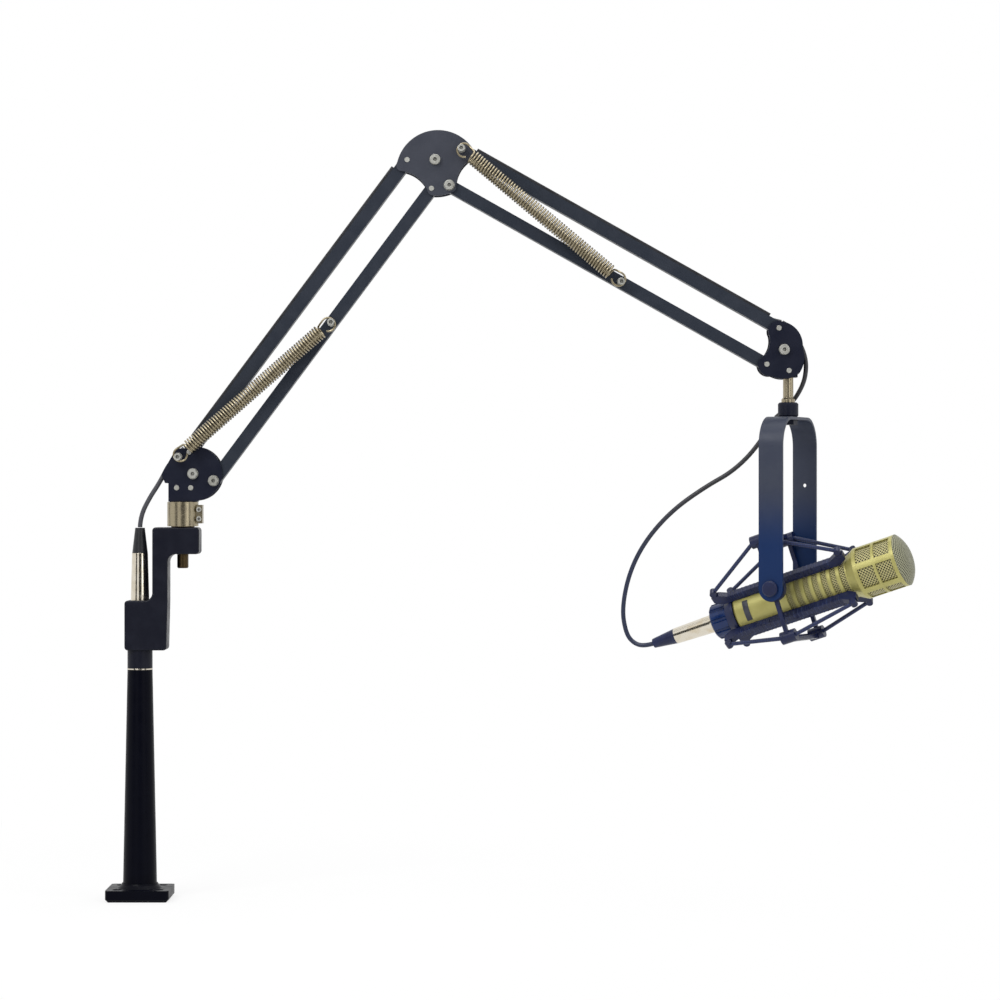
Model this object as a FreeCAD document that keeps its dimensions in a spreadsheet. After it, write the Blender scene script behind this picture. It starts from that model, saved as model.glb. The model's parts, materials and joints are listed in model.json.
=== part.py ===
import FreeCAD, Part
import Sketcher
import math
import os
from FreeCAD import Placement, Rotation, Vector

# Driving sizes in millimetres and degrees. X runs along the arm, Y away from the viewer, Z up from the desk.
SIZES = {
    # Fits and edges
    "fit_gap": 0.05,
    "face_gap": 0.3,
    "edge_break": 0.5,
    # Desk base and column
    "base_side": 65.0,
    "base_height": 12.0,
    "base_bevel": 2.8,
    "base_corner": 4.0,
    "foot_ring_radius": 22.5,
    "foot_ring_height": 5.0,
    "cable_bore_radius": 8.0,
    "screw_spacing": 42.0,
    "screw_hole_radius": 2.75,
    "screw_sink": 2.6,
    "column_foot_radius": 17.45,
    "column_top_radius": 12.85,
    "column_wall": 2.6,
    "column_height": 224.0,
    "joint_ring_height": 1.2,
    "joint_ring_lip": 0.25,
    # Riser head bracket
    "neck_height": 18.8,
    "block_height": 51.0,
    "web_height": 47.5,
    "hook_height": 27.5,
    "bracket_depth": 31.0,
    "block_left": 14.5,
    "block_right": 28.5,
    "web_left": 14.0,
    "web_right": 29.8,
    "hook_right": 62.0,
    "bracket_outer_round": 3.5,
    "bracket_inner_round": 8.0,
    "bracket_edge_round": 1.8,
    "socket_depth": 24.0,
    "socket_height": 8.0,
    "socket_cable_radius": 6.0,
    "contact_radius": 1.2,
    "contact_circle": 4.0,
    "contact_height": 10.0,
    # Connector plugs
    "plug_radius": 9.4,
    "plug_tip_radius": 8.2,
    "plug_straight": 6.0,
    "plug_height": 48.5,
    "plug_hollow_radius": 7.4,
    "plug_hollow_depth": 13.0,
    "boot_radius": 8.0,
    "boot_tip_radius": 4.95,
    "boot_height": 26.0,
    # Swivel
    "swivel_offset": 44.0,
    "pin_radius": 5.8,
    "pin_drop": 14.5,
    "pin_chamfer": 1.0,
    "bush_radius": 7.9,
    "bush_flange_radius": 12.0,
    "thrust_height": 1.0,
    "collar_radius": 16.0,
    "collar_height": 25.0,
    "ear_reach": 20.7,
    "ear_depth": 14.0,
    "ear_height": 19.0,
    "ear_slit": 1.6,
    "clamp_screw_radius": 1.5,
    "clamp_screw_head": 2.6,
    "clamp_screw_spread": 9.6,
    "clamp_screw_setback": 3.4,
    # Joint plates
    "plate_gap": 16.8,
    "plate_thickness": 2.5,
    "pivot_radius": 2.2,
    "rivet_rise": 0.6,
    "rivet_head_radius": 2.6,
    "bolt_radius": 3.0,
    "bolt_head_radius": 5.2,
    "bolt_head_height": 3.6,
    "bolt_socket_radius": 2.1,
    "bolt_socket_depth": 2.4,
    "washer_radius": 5.6,
    "washer_height": 0.8,
    "spacer_radius": 5.0,
    "block_rivet_radius": 1.6,
    # Shoulder, measured from the swivel axis and the collar top
    "shoulder_tab_left": 13.8,
    "shoulder_tab_right": 15.6,
    "shoulder_disc_x": 13.5,
    "shoulder_disc_z": 29.0,
    "shoulder_disc_radius": 27.7,
    "shoulder_ear_x": 5.8,
    "shoulder_ear_z": 54.8,
    "shoulder_ear_round": 7.0,
    "shoulder_cheek_x": 21.0,
    "shoulder_cheek_z": 28.0,
    "shoulder_cheek_low_x": 17.2,
    "shoulder_cheek_low_z": 19.3,
    "shoulder_cheek_round": 4.0,
    "shoulder_bolt_x": 11.3,
    "shoulder_bolt_z": 28.9,
    "shoulder_post_x": 3.4,
    "shoulder_post_z": 46.0,
    "shoulder_pivot_x": 7.5,
    "shoulder_pivot_z": 51.1,
    "shoulder_rivet_left": 5.4,
    "shoulder_rivet_right": 9.1,
    "shoulder_rivet_z": 14.5,
    "shoulder_block_height": 21.5,
    "shoulder_block_margin": 1.2,
    # Arms
    "arm_length": 373.5,
    "lower_arm_angle": 53.3,
    "upper_arm_angle": 29.4,
    "lower_link_x": 25.0,
    "lower_link_z": 29.3,
    "upper_link_x": 12.4,
    "upper_link_z": 37.1,
    "bar_width": 12.7,
    "bar_depth": 16.0,
    "bar_wall": 1.5,
    "sleeve_radius": 4.2,
    "cover_thickness": 2.8,
    "cover_setback": 14.5,
    "cover_round": 1.2,
    "cable_lift": 7.3,
    "cable_seat": 2.4,
    "cable_dive": 16.0,
    "anchor_station": 202.0,
    # Elbow, measured from the outer pivot of the lower arm
    "elbow_pivot_x": 55.6,
    "elbow_pivot_z": 11.0,
    "elbow_bolt_x": 28.6,
    "elbow_bolt_z": 0.2,
    "elbow_disc_x": 31.7,
    "elbow_disc_z": 12.6,
    "elbow_disc_radius": 43.0,
    "elbow_foot_x": 29.5,
    "elbow_foot_z": 5.9,
    "elbow_foot_radius": 42.6,
    "elbow_left_cut_x": 9.6,
    "elbow_left_cut_z": 44.4,
    "elbow_left_cut_radius": 33.0,
    "elbow_right_cut_x": 82.4,
    "elbow_right_cut_z": 26.9,
    "elbow_right_cut_radius": 32.0,
    "elbow_round": 5.0,
    # Head, measured from the outer pivot of the upper arm
    "head_plate_span": 60.0,
    "head_bolt_x": 5.3,
    "head_bolt_z": 22.0,
    "stud_x": 10.3,
    "stud_bolt_z": 43.6,
    "stud_block_width": 18.0,
    "stud_block_top": 34.0,
    "stud_block_bottom": 50.4,
    "stud_radius": 5.3,
    "stud_length": 20.6,
    "stud_flare_radius": 7.0,
    "stud_flare_height": 5.0,
    "stud_thread_radius": 5.0,
    "stud_thread_length": 12.0,
    "stud_tenon_radius": 4.0,
    "stud_tenon_height": 4.0,
    # Springs
    "spring_radius": 7.0,
    "spring_wire": 2.0,
    "spring_depth": 20.0,
    "spring_coil_gap": 3.4,
    "post_radius": 2.2,
    "post_head_radius": 3.7,
    "post_head_height": 2.5,
    "post_base_radius": 4.2,
    "post_base_height": 4.0,
    # Leads
    "lead_diameter": 4.8,
    "lead_join_gap": 0.45,
    "lead_span": 400.0,
    # Yoke
    "yoke_yaw": 23.5,
    "yoke_nut_radius": 10.5,
    "yoke_nut_height": 15.0,
    "yoke_spigot_radius": 6.5,
    "yoke_lock_radius": 9.5,
    "yoke_lock_height": 5.0,
    "yoke_width": 25.4,
    "yoke_thickness": 3.0,
    "yoke_drop": 175.0,
    "yoke_half_gap": 53.5,
    "yoke_bend_radius": 30.0,
    "yoke_hole_radius": 2.0,
    "yoke_hole_rise": 105.0,
    "tilt_bolt_radius": 3.0,
    "tilt_knob_radius": 8.0,
    "tilt_knob_height": 4.0,
    "tilt_bolt_reach": 7.0,
    # Suspension ring and cage
    "mic_pitch": 18.4,
    "ring_half_height": 54.5,
    "ring_half_width": 49.2,
    "ring_rod": 4.2,
    "ring_round": 6.0,
    "hub_radius": 13.5,
    "hub_inner": 46.0,
    "cleat_radius": 6.5,
    "cleat_length": 16.0,
    "cleat_inset": 3.4,
    "cord_radius": 2.0,
    "cord_stand": 5.0,
    "mic_sag": 10.5,
    "rail_inner": 22.5,
    "rail_outer": 31.0,
    "rail_thickness": 6.5,
    "rail_half_length": 66.0,
    "hook_length": 8.0,
    "hook_outer": 39.0,
    "hook_radius": 3.6,
    "cage_hub_front": 58.0,
    "cage_hub_back": 68.0,
    "cage_hub_radius": 22.1,
    "cage_collar_back": 86.0,
    "cage_collar_radius": 18.5,
    "collar_groove_radius": 2.2,
    # Microphone
    "mic_radius": 22.0,
    "mic_tail_radius": 13.0,
    "mic_back": 57.6,
    "mic_tail_back": 84.0,
    "mic_slot_start": 2.0,
    "mic_slot_pitch": 10.1,
    "mic_slot_width": 6.4,
    "mic_slot_floor": 19.0,
    "mic_band_height": 1.0,
    "mic_neck_start": 70.4,
    "mic_head_start": 79.5,
    "mic_head_radius": 27.0,
    "mic_head_wall": 1.6,
    "mic_rim": 124.5,
    "mic_front": 133.0,
    "window_length": 17.0,
    "window_width": 21.0,
    "window_front_gap": 4.0,
    "window_turn": 47.0,
    "mesh_wall": 0.5,
    "capsule_radius": 17.0,
    "capsule_back": 86.0,
    "capsule_front": 118.0,
    "badge_station": 43.0,
    "badge_length": 6.0,
    "badge_height": 0.5,
    "badge_angle": 56.0,
    "tail_plug_nose": 0.05,
}

# Counts
LOWER_TURNS = 49
UPPER_TURNS = 50
SLOT_COUNT = 7
WINDOW_COUNT = 6
COLLAR_GROOVES = 10
# Where the bulge of the front grille passes, as shares of its height and radius
GRILLE_RISE_SHARE = 0.62
GRILLE_BOW_SHARE = 0.72

# Outline of the head plate from the outer pivot: end points with arc middles between, shares of its span.
HEAD_PLATE_SHARES = [
    (-0.165, -0.135), (-0.165, 0.03), (0.03, 0.115), (0.30, -0.02), (0.405, -0.34), (0.43, -0.55),
    (0.345, -0.775), (0.10, -0.87), (-0.13, -0.82), (-0.335, -0.72), (-0.345, -0.55), (-0.19, -0.38),
]

# Free lead routes, shares of the lead span. X from the column axis, Y away from the viewer, Z from the boot.
RISER_LEAD_SHARES = [
    (0.0, 0.0, 0.0), (0.00125, 0.0, 0.02875), (0.0225, 0.0, 0.07375), (0.05375, 0.0, 0.12125),
    (0.0775, 0.0, 0.17),
]
# From the outer pivot of the head
HEAD_LEAD_SHARES = [
    (0.0306, 0.0, 0.0050), (0.0482, 0.0, -0.0230), (0.0682, 0.0, -0.0655), (0.0732, 0.0025, -0.1030),
    (0.0657, 0.0150, -0.1455), (0.0369, 0.0362, -0.1943), (-0.0018, 0.0562, -0.2280),
]
MIC_LEAD_SHARES = [
    (-0.0426, 0.0675, -0.2966), (-0.1063, 0.0825, -0.3641), (-0.1813, 0.1000, -0.4066),
    (-0.2670, 0.1200, -0.4683), (-0.3358, 0.1375, -0.5476), (-0.3768, 0.1550, -0.6316),
    (-0.3948, 0.1700, -0.7256),
]
# From the end of the microphone's plug boot
BOOT_TURN_SHARES = [
    (-0.07325, 0.02675, 0.02725), (-0.05575, 0.02225, 0.0015), (-0.02775, 0.012, -0.009),
]

DOC = FreeCAD.newDocument("boom_arm")
SHEET = DOC.addObject("Spreadsheet::Sheet", "Sizes")
for row, (name, value) in enumerate(SIZES.items(), start=1):
    SHEET.set("A%d" % row, name)
    SHEET.set("B%d" % row, str(value))
    SHEET.setAlias("B%d" % row, name)
DOC.recompute()

NODES = []
HELPERS = []


class Size:
    """A number together with the sheet formula that gives it."""

    def __init__(self, number, formula):
        self.number = float(number)
        self.formula = formula

    def __float__(self):
        return self.number

    def __add__(self, other):
        other = as_size(other)
        return Size(self.number + other.number, "(%s + %s)" % (self.formula, other.formula))

    def __radd__(self, other):
        return as_size(other) + self

    def __sub__(self, other):
        other = as_size(other)
        return Size(self.number - other.number, "(%s - %s)" % (self.formula, other.formula))

    def __rsub__(self, other):
        return as_size(other) - self

    def __mul__(self, other):
        other = as_size(other)
        return Size(self.number * other.number, "(%s * %s)" % (self.formula, other.formula))

    def __rmul__(self, other):
        return as_size(other) * self

    def __truediv__(self, other):
        other = as_size(other)
        return Size(self.number / other.number, "(%s / %s)" % (self.formula, other.formula))

    def __neg__(self):
        return Size(-self.number, "(-1 * %s)" % self.formula)


class Cells:
    """Sheet cells by name."""

    def __getattr__(self, name):
        return Size(SIZES[name], "Sizes." + name)


S = Cells()


def as_size(value):
    if isinstance(value, Size):
        return value
    return Size(float(value), "%.6f" % float(value))


def cos_of(angle):
    return Size(math.cos(math.radians(angle.number)), "cos(%s)" % angle.formula)


def sin_of(angle):
    return Size(math.sin(math.radians(angle.number)), "sin(%s)" % angle.formula)


def bind(thing, prop, size):
    size = as_size(size)
    if "Sizes." in size.formula:
        thing.setExpression(prop, size.formula)


def put(thing, x, y, z, rotation=None):
    """Place an object, with its position bound to the sheet."""
    thing.Placement = Placement(Vector(float(x), float(y), float(z)), rotation or Rotation())
    bind(thing, "Placement.Base.x", x)
    bind(thing, "Placement.Base.y", y)
    bind(thing, "Placement.Base.z", z)
    return thing


def node(thing, label):
    thing.Label = label
    NODES.append(thing)
    return thing


def new_body(label):
    return DOC.addObject("PartDesign::Body", label + "_body")


def sketch_on(body, role, offset=0):
    plane = next(item for item in body.Origin.OriginFeatures if item.Role == role)
    sketch = body.newObject("Sketcher::SketchObject", "sketch")
    sketch.AttachmentSupport = (plane, [""])
    sketch.MapMode = "FlatFace"
    sketch.AttachmentOffset = Placement(Vector(0, 0, float(offset)), Rotation())
    bind(sketch, "AttachmentOffset.Base.z", offset)
    return sketch


def arc_radius(a, b, c):
    """Radius of the circle through three points of a plane."""
    ab = math.hypot(b[0] - a[0], b[1] - a[1])
    bc = math.hypot(c[0] - b[0], c[1] - b[1])
    ca = math.hypot(a[0] - c[0], a[1] - c[1])
    area = abs((b[0] - a[0]) * (c[1] - a[1]) - (c[0] - a[0]) * (b[1] - a[1])) / 2
    return ab * bc * ca / (4 * area)


def draw(sketch, corners, middles=None, unit=None):
    """Closed outline through corners; middles maps a side's number to the point that its arc passes."""
    middles = middles or {}
    flat = [Vector(float(x), float(y), 0) for x, y in corners]
    count = len(flat)
    first = sketch.GeometryCount
    ends = []
    for side in range(count):
        start, stop = flat[side], flat[(side + 1) % count]
        turned = False
        if side in middles:
            via = Vector(float(middles[side][0]), float(middles[side][1]), 0)
            turned = (via - start).cross(stop - start).z < 0
            centre = Part.Circle(start, via, stop).Center
            near, far = (stop - centre, start - centre) if turned else (start - centre, stop - centre)
            ring = Part.Circle(centre, Vector(0, 0, 1), near.Length)
            angles = math.atan2(near.y, near.x), math.atan2(far.y, far.x)
            sketch.addGeometry(Part.ArcOfCircle(ring, *angles), False)
        else:
            sketch.addGeometry(Part.LineSegment(start, stop), False)
        ends.append((2, 1) if turned else (1, 2))
    for side in range(count):
        after = (side + 1) % count
        sketch.addConstraint(Sketcher.Constraint(
            "Coincident", first + side, ends[side][1], first + after, ends[after][0]))
    for side, (x, y) in enumerate(corners):
        for kind, value in (("DistanceX", x), ("DistanceY", y)):
            index = sketch.addConstraint(Sketcher.Constraint(
                kind, first + side, ends[side][0], float(value)))
            bind(sketch, "Constraints[%d]" % index, value)
    for side, via in middles.items():
        near, far = corners[side], corners[(side + 1) % count]
        trio = [(float(p[0]), float(p[1])) for p in (near, via, far)]
        radius = arc_radius(*trio)
        chord = math.hypot(trio[2][0] - trio[0][0], trio[2][1] - trio[0][1])
        if chord > radius * 1.999:
            index = sketch.addConstraint(Sketcher.Constraint("DistanceX", first + side, 3, trio[0][0]))
            bind(sketch, "Constraints[%d]" % index, near[0])
        elif unit is not None:
            index = sketch.addConstraint(Sketcher.Constraint("Radius", first + side, radius))
            bind(sketch, "Constraints[%d]" % index, unit * (radius / float(unit)))
    return sketch


def draw_circle(sketch, x, y, radius):
    index = sketch.addGeometry(
        Part.Circle(Vector(float(x), float(y), 0), Vector(0, 0, 1), float(radius)), False)
    for kind, value in (("DistanceX", x), ("DistanceY", y)):
        spot = sketch.addConstraint(Sketcher.Constraint(kind, index, 3, float(value)))
        bind(sketch, "Constraints[%d]" % spot, value)
    spot = sketch.addConstraint(Sketcher.Constraint("Radius", index, float(radius)))
    bind(sketch, "Constraints[%d]" % spot, radius)
    return sketch


def box_corners(x0, y0, x1, y1):
    return [(x0, y0), (x1, y0), (x1, y1), (x0, y1)]


def pad(body, sketch, length, symmetric=False):
    feature = body.newObject("PartDesign::Pad", "pad")
    feature.Profile = sketch
    feature.SideType = "Symmetric" if symmetric else "One side"
    feature.Length = float(length)
    bind(feature, "Length", length)
    body.Tip = feature
    return feature


def pocket(body, sketch, length=None, both=False, turned=False):
    """Cut a sketch out of a body: to a length, or through everything when no length is given."""
    feature = body.newObject("PartDesign::Pocket", "pocket")
    feature.Profile = sketch
    feature.SideType = "Symmetric" if both else "One side"
    feature.Reversed = turned
    if length is None:
        feature.Type = "ThroughAll"
    else:
        feature.Length = float(length)
        bind(feature, "Length", length)
    body.Tip = feature
    return feature


def turn(body, sketch, axis, kind="Revolution"):
    feature = body.newObject("PartDesign::" + kind, "turned")
    feature.Profile = sketch
    feature.ReferenceAxis = (sketch, [axis])
    feature.Angle = 360
    body.Tip = feature
    return feature


def edges_where(feature, test):
    DOC.recompute()
    names = []
    for index, edge in enumerate(feature.Shape.Edges, start=1):
        if test(edge):
            names.append("Edge%d" % index)
    return names


def soften(body, size, test, kind="Fillet"):
    """Fillet or chamfer the edges of a body's last feature that pass a test."""
    last = body.Tip
    names = edges_where(last, test)
    feature = body.newObject("PartDesign::" + kind, "edge")
    feature.Base = (last, names)
    prop = "Radius" if kind == "Fillet" else "Size"
    setattr(feature, prop, float(size))
    bind(feature, prop, size)
    body.Tip = feature
    return feature


def is_line(edge):
    return edge.Curve.TypeId == "Part::GeomLine"


def runs_along(edge, axis):
    if not is_line(edge):
        return False
    return abs(edge.tangentAt(edge.FirstParameter).dot(axis)) > 0.999


def near_point(edge, x, z):
    reach = float(S.edge_break)
    middle = edge.BoundBox.Center
    return abs(middle.x - float(x)) < reach and abs(middle.z - float(z)) < reach


def on_circle(edge, spot, radius):
    middle = edge.BoundBox.Center
    reach = math.hypot(middle.x - float(spot[0]), middle.z - float(spot[1]))
    return abs(reach - float(radius)) < float(S.fit_gap)


def revolved(label, points, axis="V_Axis", middles=None, unit=None):
    """Turned piece from half its section: points are radius and height, or station and radius."""
    body = new_body(label)
    sketch = draw(sketch_on(body, "XZ_Plane"), points, middles, unit)
    turn(body, sketch, axis)
    return node(body, label)


def turned_helper(points, axis="V_Axis"):
    """Turned piece that goes into a group."""
    body = new_body("turned_piece")
    turn(body, draw(sketch_on(body, "XZ_Plane"), points), axis)
    return body


def helper(kind, name):
    thing = DOC.addObject("Part::" + kind, name)
    HELPERS.append(thing)
    return thing


def rod_along_y(x, z, front, back, radius):
    """Cylinder along Y between two depths; front is the smaller."""
    rod = helper("Cylinder", "rod")
    rod.Radius = float(radius)
    bind(rod, "Radius", radius)
    length = back - front
    rod.Height = float(length)
    bind(rod, "Height", length)
    return put(rod, x, front, z, Rotation(Vector(1, 0, 0), -90))


def hex_along_y(x, z, front, back, radius):
    prism = helper("Prism", "hexagon")
    prism.Polygon = 6
    prism.Circumradius = float(radius)
    bind(prism, "Circumradius", radius)
    length = back - front
    prism.Height = float(length)
    bind(prism, "Height", length)
    return put(prism, x, front, z, Rotation(Vector(1, 0, 0), -90))


def fused(*things):
    joined = helper("MultiFuse", "joined")
    joined.Shapes = list(things)
    return joined


def cut(base, tool):
    taken = helper("Cut", "taken")
    taken.Base = base
    taken.Tool = tool
    return taken


def grouped(label, things):
    group = DOC.addObject("Part::Compound", label + "_group")
    group.Links = list(things)
    return node(group, label)


def block(x0, y0, z0, x1, y1, z1):
    thing = helper("Box", "block")
    for prop, size in (("Length", x1 - x0), ("Width", y1 - y0), ("Height", z1 - z0)):
        setattr(thing, prop, float(size))
        bind(thing, prop, size)
    return put(thing, x0, y0, z0)


PLATE_IN = S.plate_gap / 2
PLATE_OUT = S.plate_gap / 2 + S.plate_thickness
POST_FRONT = -(S.spring_depth + S.spring_wire / 2 + S.face_gap)


def rivet(spot, radius=None, head=None):
    """Pin through both plates, with a low head on each."""
    radius = radius or S.pivot_radius
    head = head or S.rivet_head_radius
    x, z = spot
    pin = rod_along_y(x, z, -PLATE_OUT, PLATE_OUT, radius)
    front = rod_along_y(x, z, -PLATE_OUT - S.rivet_rise, -PLATE_OUT, head)
    back = rod_along_y(x, z, PLATE_OUT, PLATE_OUT + S.rivet_rise, head)
    return fused(pin, front, back)


def bolt(spot, radius, hexagonal=True):
    """Bolt through both plates: washer, head with a socket in front, hexagon nut behind."""
    x, z = spot
    seat = -PLATE_OUT - S.washer_height
    shank = rod_along_y(x, z, seat, PLATE_OUT + S.bolt_head_height, radius)
    washer = rod_along_y(x, z, seat, -PLATE_OUT, S.washer_radius)
    make = hex_along_y if hexagonal else rod_along_y
    head = make(x, z, seat - S.bolt_head_height, seat, S.bolt_head_radius)
    nut = hex_along_y(x, z, PLATE_OUT, PLATE_OUT + S.bolt_head_height, S.bolt_head_radius)
    socket = hex_along_y(
        x, z, seat - S.bolt_head_height, seat - S.bolt_head_height + S.bolt_socket_depth,
        S.bolt_socket_radius)
    return cut(fused(shank, washer, head, nut), socket)


def spacer(spot, radius):
    """Sleeve between the plates round a bolt."""
    x, z = spot
    inset = S.fit_gap
    outside = rod_along_y(x, z, -PLATE_IN + inset, PLATE_IN - inset, S.spacer_radius)
    inside = rod_along_y(x, z, -PLATE_IN, PLATE_IN, radius + S.fit_gap)
    return cut(outside, inside)


def post(spot, back):
    """Stud that a spring loop hangs on: base, neck and socket head."""
    x, z = spot
    base = rod_along_y(x, z, back - S.post_base_height, back, S.post_base_radius)
    neck = rod_along_y(x, z, POST_FRONT, back, S.post_radius)
    head = rod_along_y(x, z, POST_FRONT - S.post_head_height, POST_FRONT, S.post_head_radius)
    socket = hex_along_y(
        x, z, POST_FRONT - S.post_head_height,
        POST_FRONT - S.post_head_height + S.bolt_socket_depth, S.bolt_socket_radius)
    return cut(fused(base, neck, head), socket)


def plate_sketch(body, front):
    offset = PLATE_IN if front else -PLATE_OUT
    return sketch_on(body, "XZ_Plane", offset)


def plate_holes(body, holes):
    sketch = sketch_on(body, "XZ_Plane")
    for (x, z), radius in holes:
        draw_circle(sketch, x, z, radius + S.fit_gap)
    pocket(body, sketch, both=True)


# Heights up the riser
z_base = S.base_height
z_column = z_base + S.column_height
z_neck = z_column + S.joint_ring_height
z_block = z_neck + S.neck_height
z_block_top = z_block + S.block_height
z_hook = z_block_top + S.web_height
z_hook_top = z_hook + S.hook_height
z_collar = z_hook_top + S.thrust_height
z_collar_top = z_collar + S.collar_height
z_plug_top = z_block_top + S.plug_height
z_boot_top = z_plug_top + S.boot_height
x_swivel = S.swivel_offset


def build_base():
    half = S.base_side / 2
    body = new_body("base_flange")
    pad(body, draw(sketch_on(body, "XY_Plane"), box_corners(-half, -half, half, half)), S.base_height)
    up = Vector(0, 0, 1)
    soften(body, S.base_corner, lambda edge: runs_along(edge, up))
    soften(body, S.base_bevel, lambda edge: edge.BoundBox.ZMax < float(S.fit_gap), "Chamfer")
    inner = S.column_foot_radius + S.fit_gap
    outer = S.foot_ring_radius
    top = z_base + S.foot_ring_height
    third = (outer - inner) / 3
    ring = draw(sketch_on(body, "XZ_Plane"), [
        (inner, z_base - S.fit_gap), (outer, z_base - S.fit_gap), (outer, z_base),
        (inner + third * 2, z_base + third),
        (inner + third, z_base + third * 2), (inner + third / 2, top), (inner, top)])
    turn(body, ring, "V_Axis")
    bore = draw_circle(sketch_on(body, "XY_Plane", top), 0, 0, S.cable_bore_radius)
    pocket(body, bore)
    spread = S.screw_spacing / 2
    holes = sketch_on(body, "XY_Plane", top)
    for x in (-spread, spread):
        for y in (-spread, spread):
            draw_circle(holes, x, y, S.screw_hole_radius)
    pocket(body, holes)
    soften(body, S.screw_sink, is_screw_rim, "Chamfer")
    node(body, "base_flange")


def is_screw_rim(edge):
    if edge.Curve.TypeId != "Part::GeomCircle":
        return False
    level = abs(edge.BoundBox.Center.z - float(z_base)) < float(S.fit_gap)
    return level and abs(edge.Curve.Radius - float(S.screw_hole_radius)) < float(S.fit_gap)


def build_riser():
    foot, top, wall = S.column_foot_radius, S.column_top_radius, S.column_wall
    revolved("riser_column", [(foot - wall, z_base), (foot, z_base), (top, z_column), (top - wall, z_column)])
    rim = top + S.joint_ring_lip
    revolved("column_joint_ring", [
        (top - wall, z_column), (rim, z_column), (rim, z_neck), (top - wall, z_neck)])

    body = new_body("riser_head")
    corners = [
        (-S.block_left, z_block), (S.block_right, z_block), (S.web_right, z_block_top), (S.web_right, z_hook),
        (S.hook_right, z_hook), (S.hook_right, z_hook_top), (S.web_left, z_hook_top),
        (S.web_left, z_block_top),
        (-S.block_left, z_block_top),
    ]
    pad(body, draw(sketch_on(body, "XZ_Plane"), corners), S.bracket_depth, symmetric=True)
    deep = Vector(0, 1, 0)
    inner_spots = [corners[3], corners[7]]
    outer_spots = [corners[0], corners[1], corners[4], corners[5], corners[6], corners[8]]
    soften(body, S.bracket_inner_round, lambda edge: runs_along(edge, deep) and any(
        near_point(edge, *spot) for spot in inner_spots))
    soften(body, S.bracket_outer_round, lambda edge: runs_along(edge, deep) and any(
        near_point(edge, *spot) for spot in outer_spots))
    half = float(S.bracket_depth / 2)
    soften(body, S.bracket_edge_round, lambda edge: abs(abs(edge.BoundBox.Center.y) - half) < float(
        S.fit_gap) and edge.BoundBox.YLength < float(S.fit_gap))
    pad(body, draw_circle(sketch_on(body, "XY_Plane", z_neck), 0, 0, S.column_top_radius), S.neck_height)
    floor = z_block_top - S.socket_depth
    bore = S.plug_radius + S.fit_gap
    hollow = [
        (0, z_neck), (S.socket_cable_radius, z_neck), (S.socket_cable_radius, floor), (bore, floor),
        (bore, z_block_top + S.bracket_inner_round), (0, z_block_top + S.bracket_inner_round),
    ]
    turn(body, draw(sketch_on(body, "XZ_Plane"), hollow), "V_Axis", "Groove")
    seat = draw_circle(sketch_on(body, "XY_Plane", z_hook_top), x_swivel, 0, S.bush_radius + S.fit_gap)
    pocket(body, seat, S.hook_height)
    node(body, "riser_head")

    inner = S.pin_radius + S.fit_gap
    flange = [
        (inner, z_hook), (S.bush_radius, z_hook), (S.bush_radius, z_hook_top),
        (S.bush_flange_radius, z_hook_top),
        (S.bush_flange_radius, z_collar - S.fit_gap), (inner, z_collar - S.fit_gap),
    ]
    put(revolved("hook_bush", flange), x_swivel, 0, 0)

    socket_body = new_body("riser_socket")
    rim = draw_circle(sketch_on(socket_body, "XY_Plane", floor), 0, 0, S.plug_radius)
    pad(socket_body, rim, S.socket_height)
    contacts = sketch_on(socket_body, "XY_Plane", floor + S.socket_height)
    for turn_share in (0, 1, 2):
        angle = 2 * math.pi * turn_share / 3
        draw_circle(contacts, S.contact_circle * math.cos(angle), S.contact_circle * math.sin(angle),
                    S.contact_radius)
    pad(socket_body, contacts, S.contact_height)
    drain = draw_circle(sketch_on(socket_body, "XY_Plane"), 0, 0, S.contact_radius)
    pocket(socket_body, drain, both=True)
    node(socket_body, "riser_socket")

    start = floor + S.socket_height + S.fit_gap
    bottom = start + S.plug_hollow_depth
    revolved("plug_barrel", [
        (S.plug_hollow_radius, start), (S.plug_radius, start), (S.plug_radius, z_block_top + S.plug_straight),
        (S.plug_tip_radius, z_plug_top), (0, z_plug_top), (0, bottom), (S.plug_hollow_radius, bottom)])
    revolved("plug_boot", [
        (0, z_plug_top), (S.boot_radius, z_plug_top), (S.boot_tip_radius, z_boot_top), (0, z_boot_top)])


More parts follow.
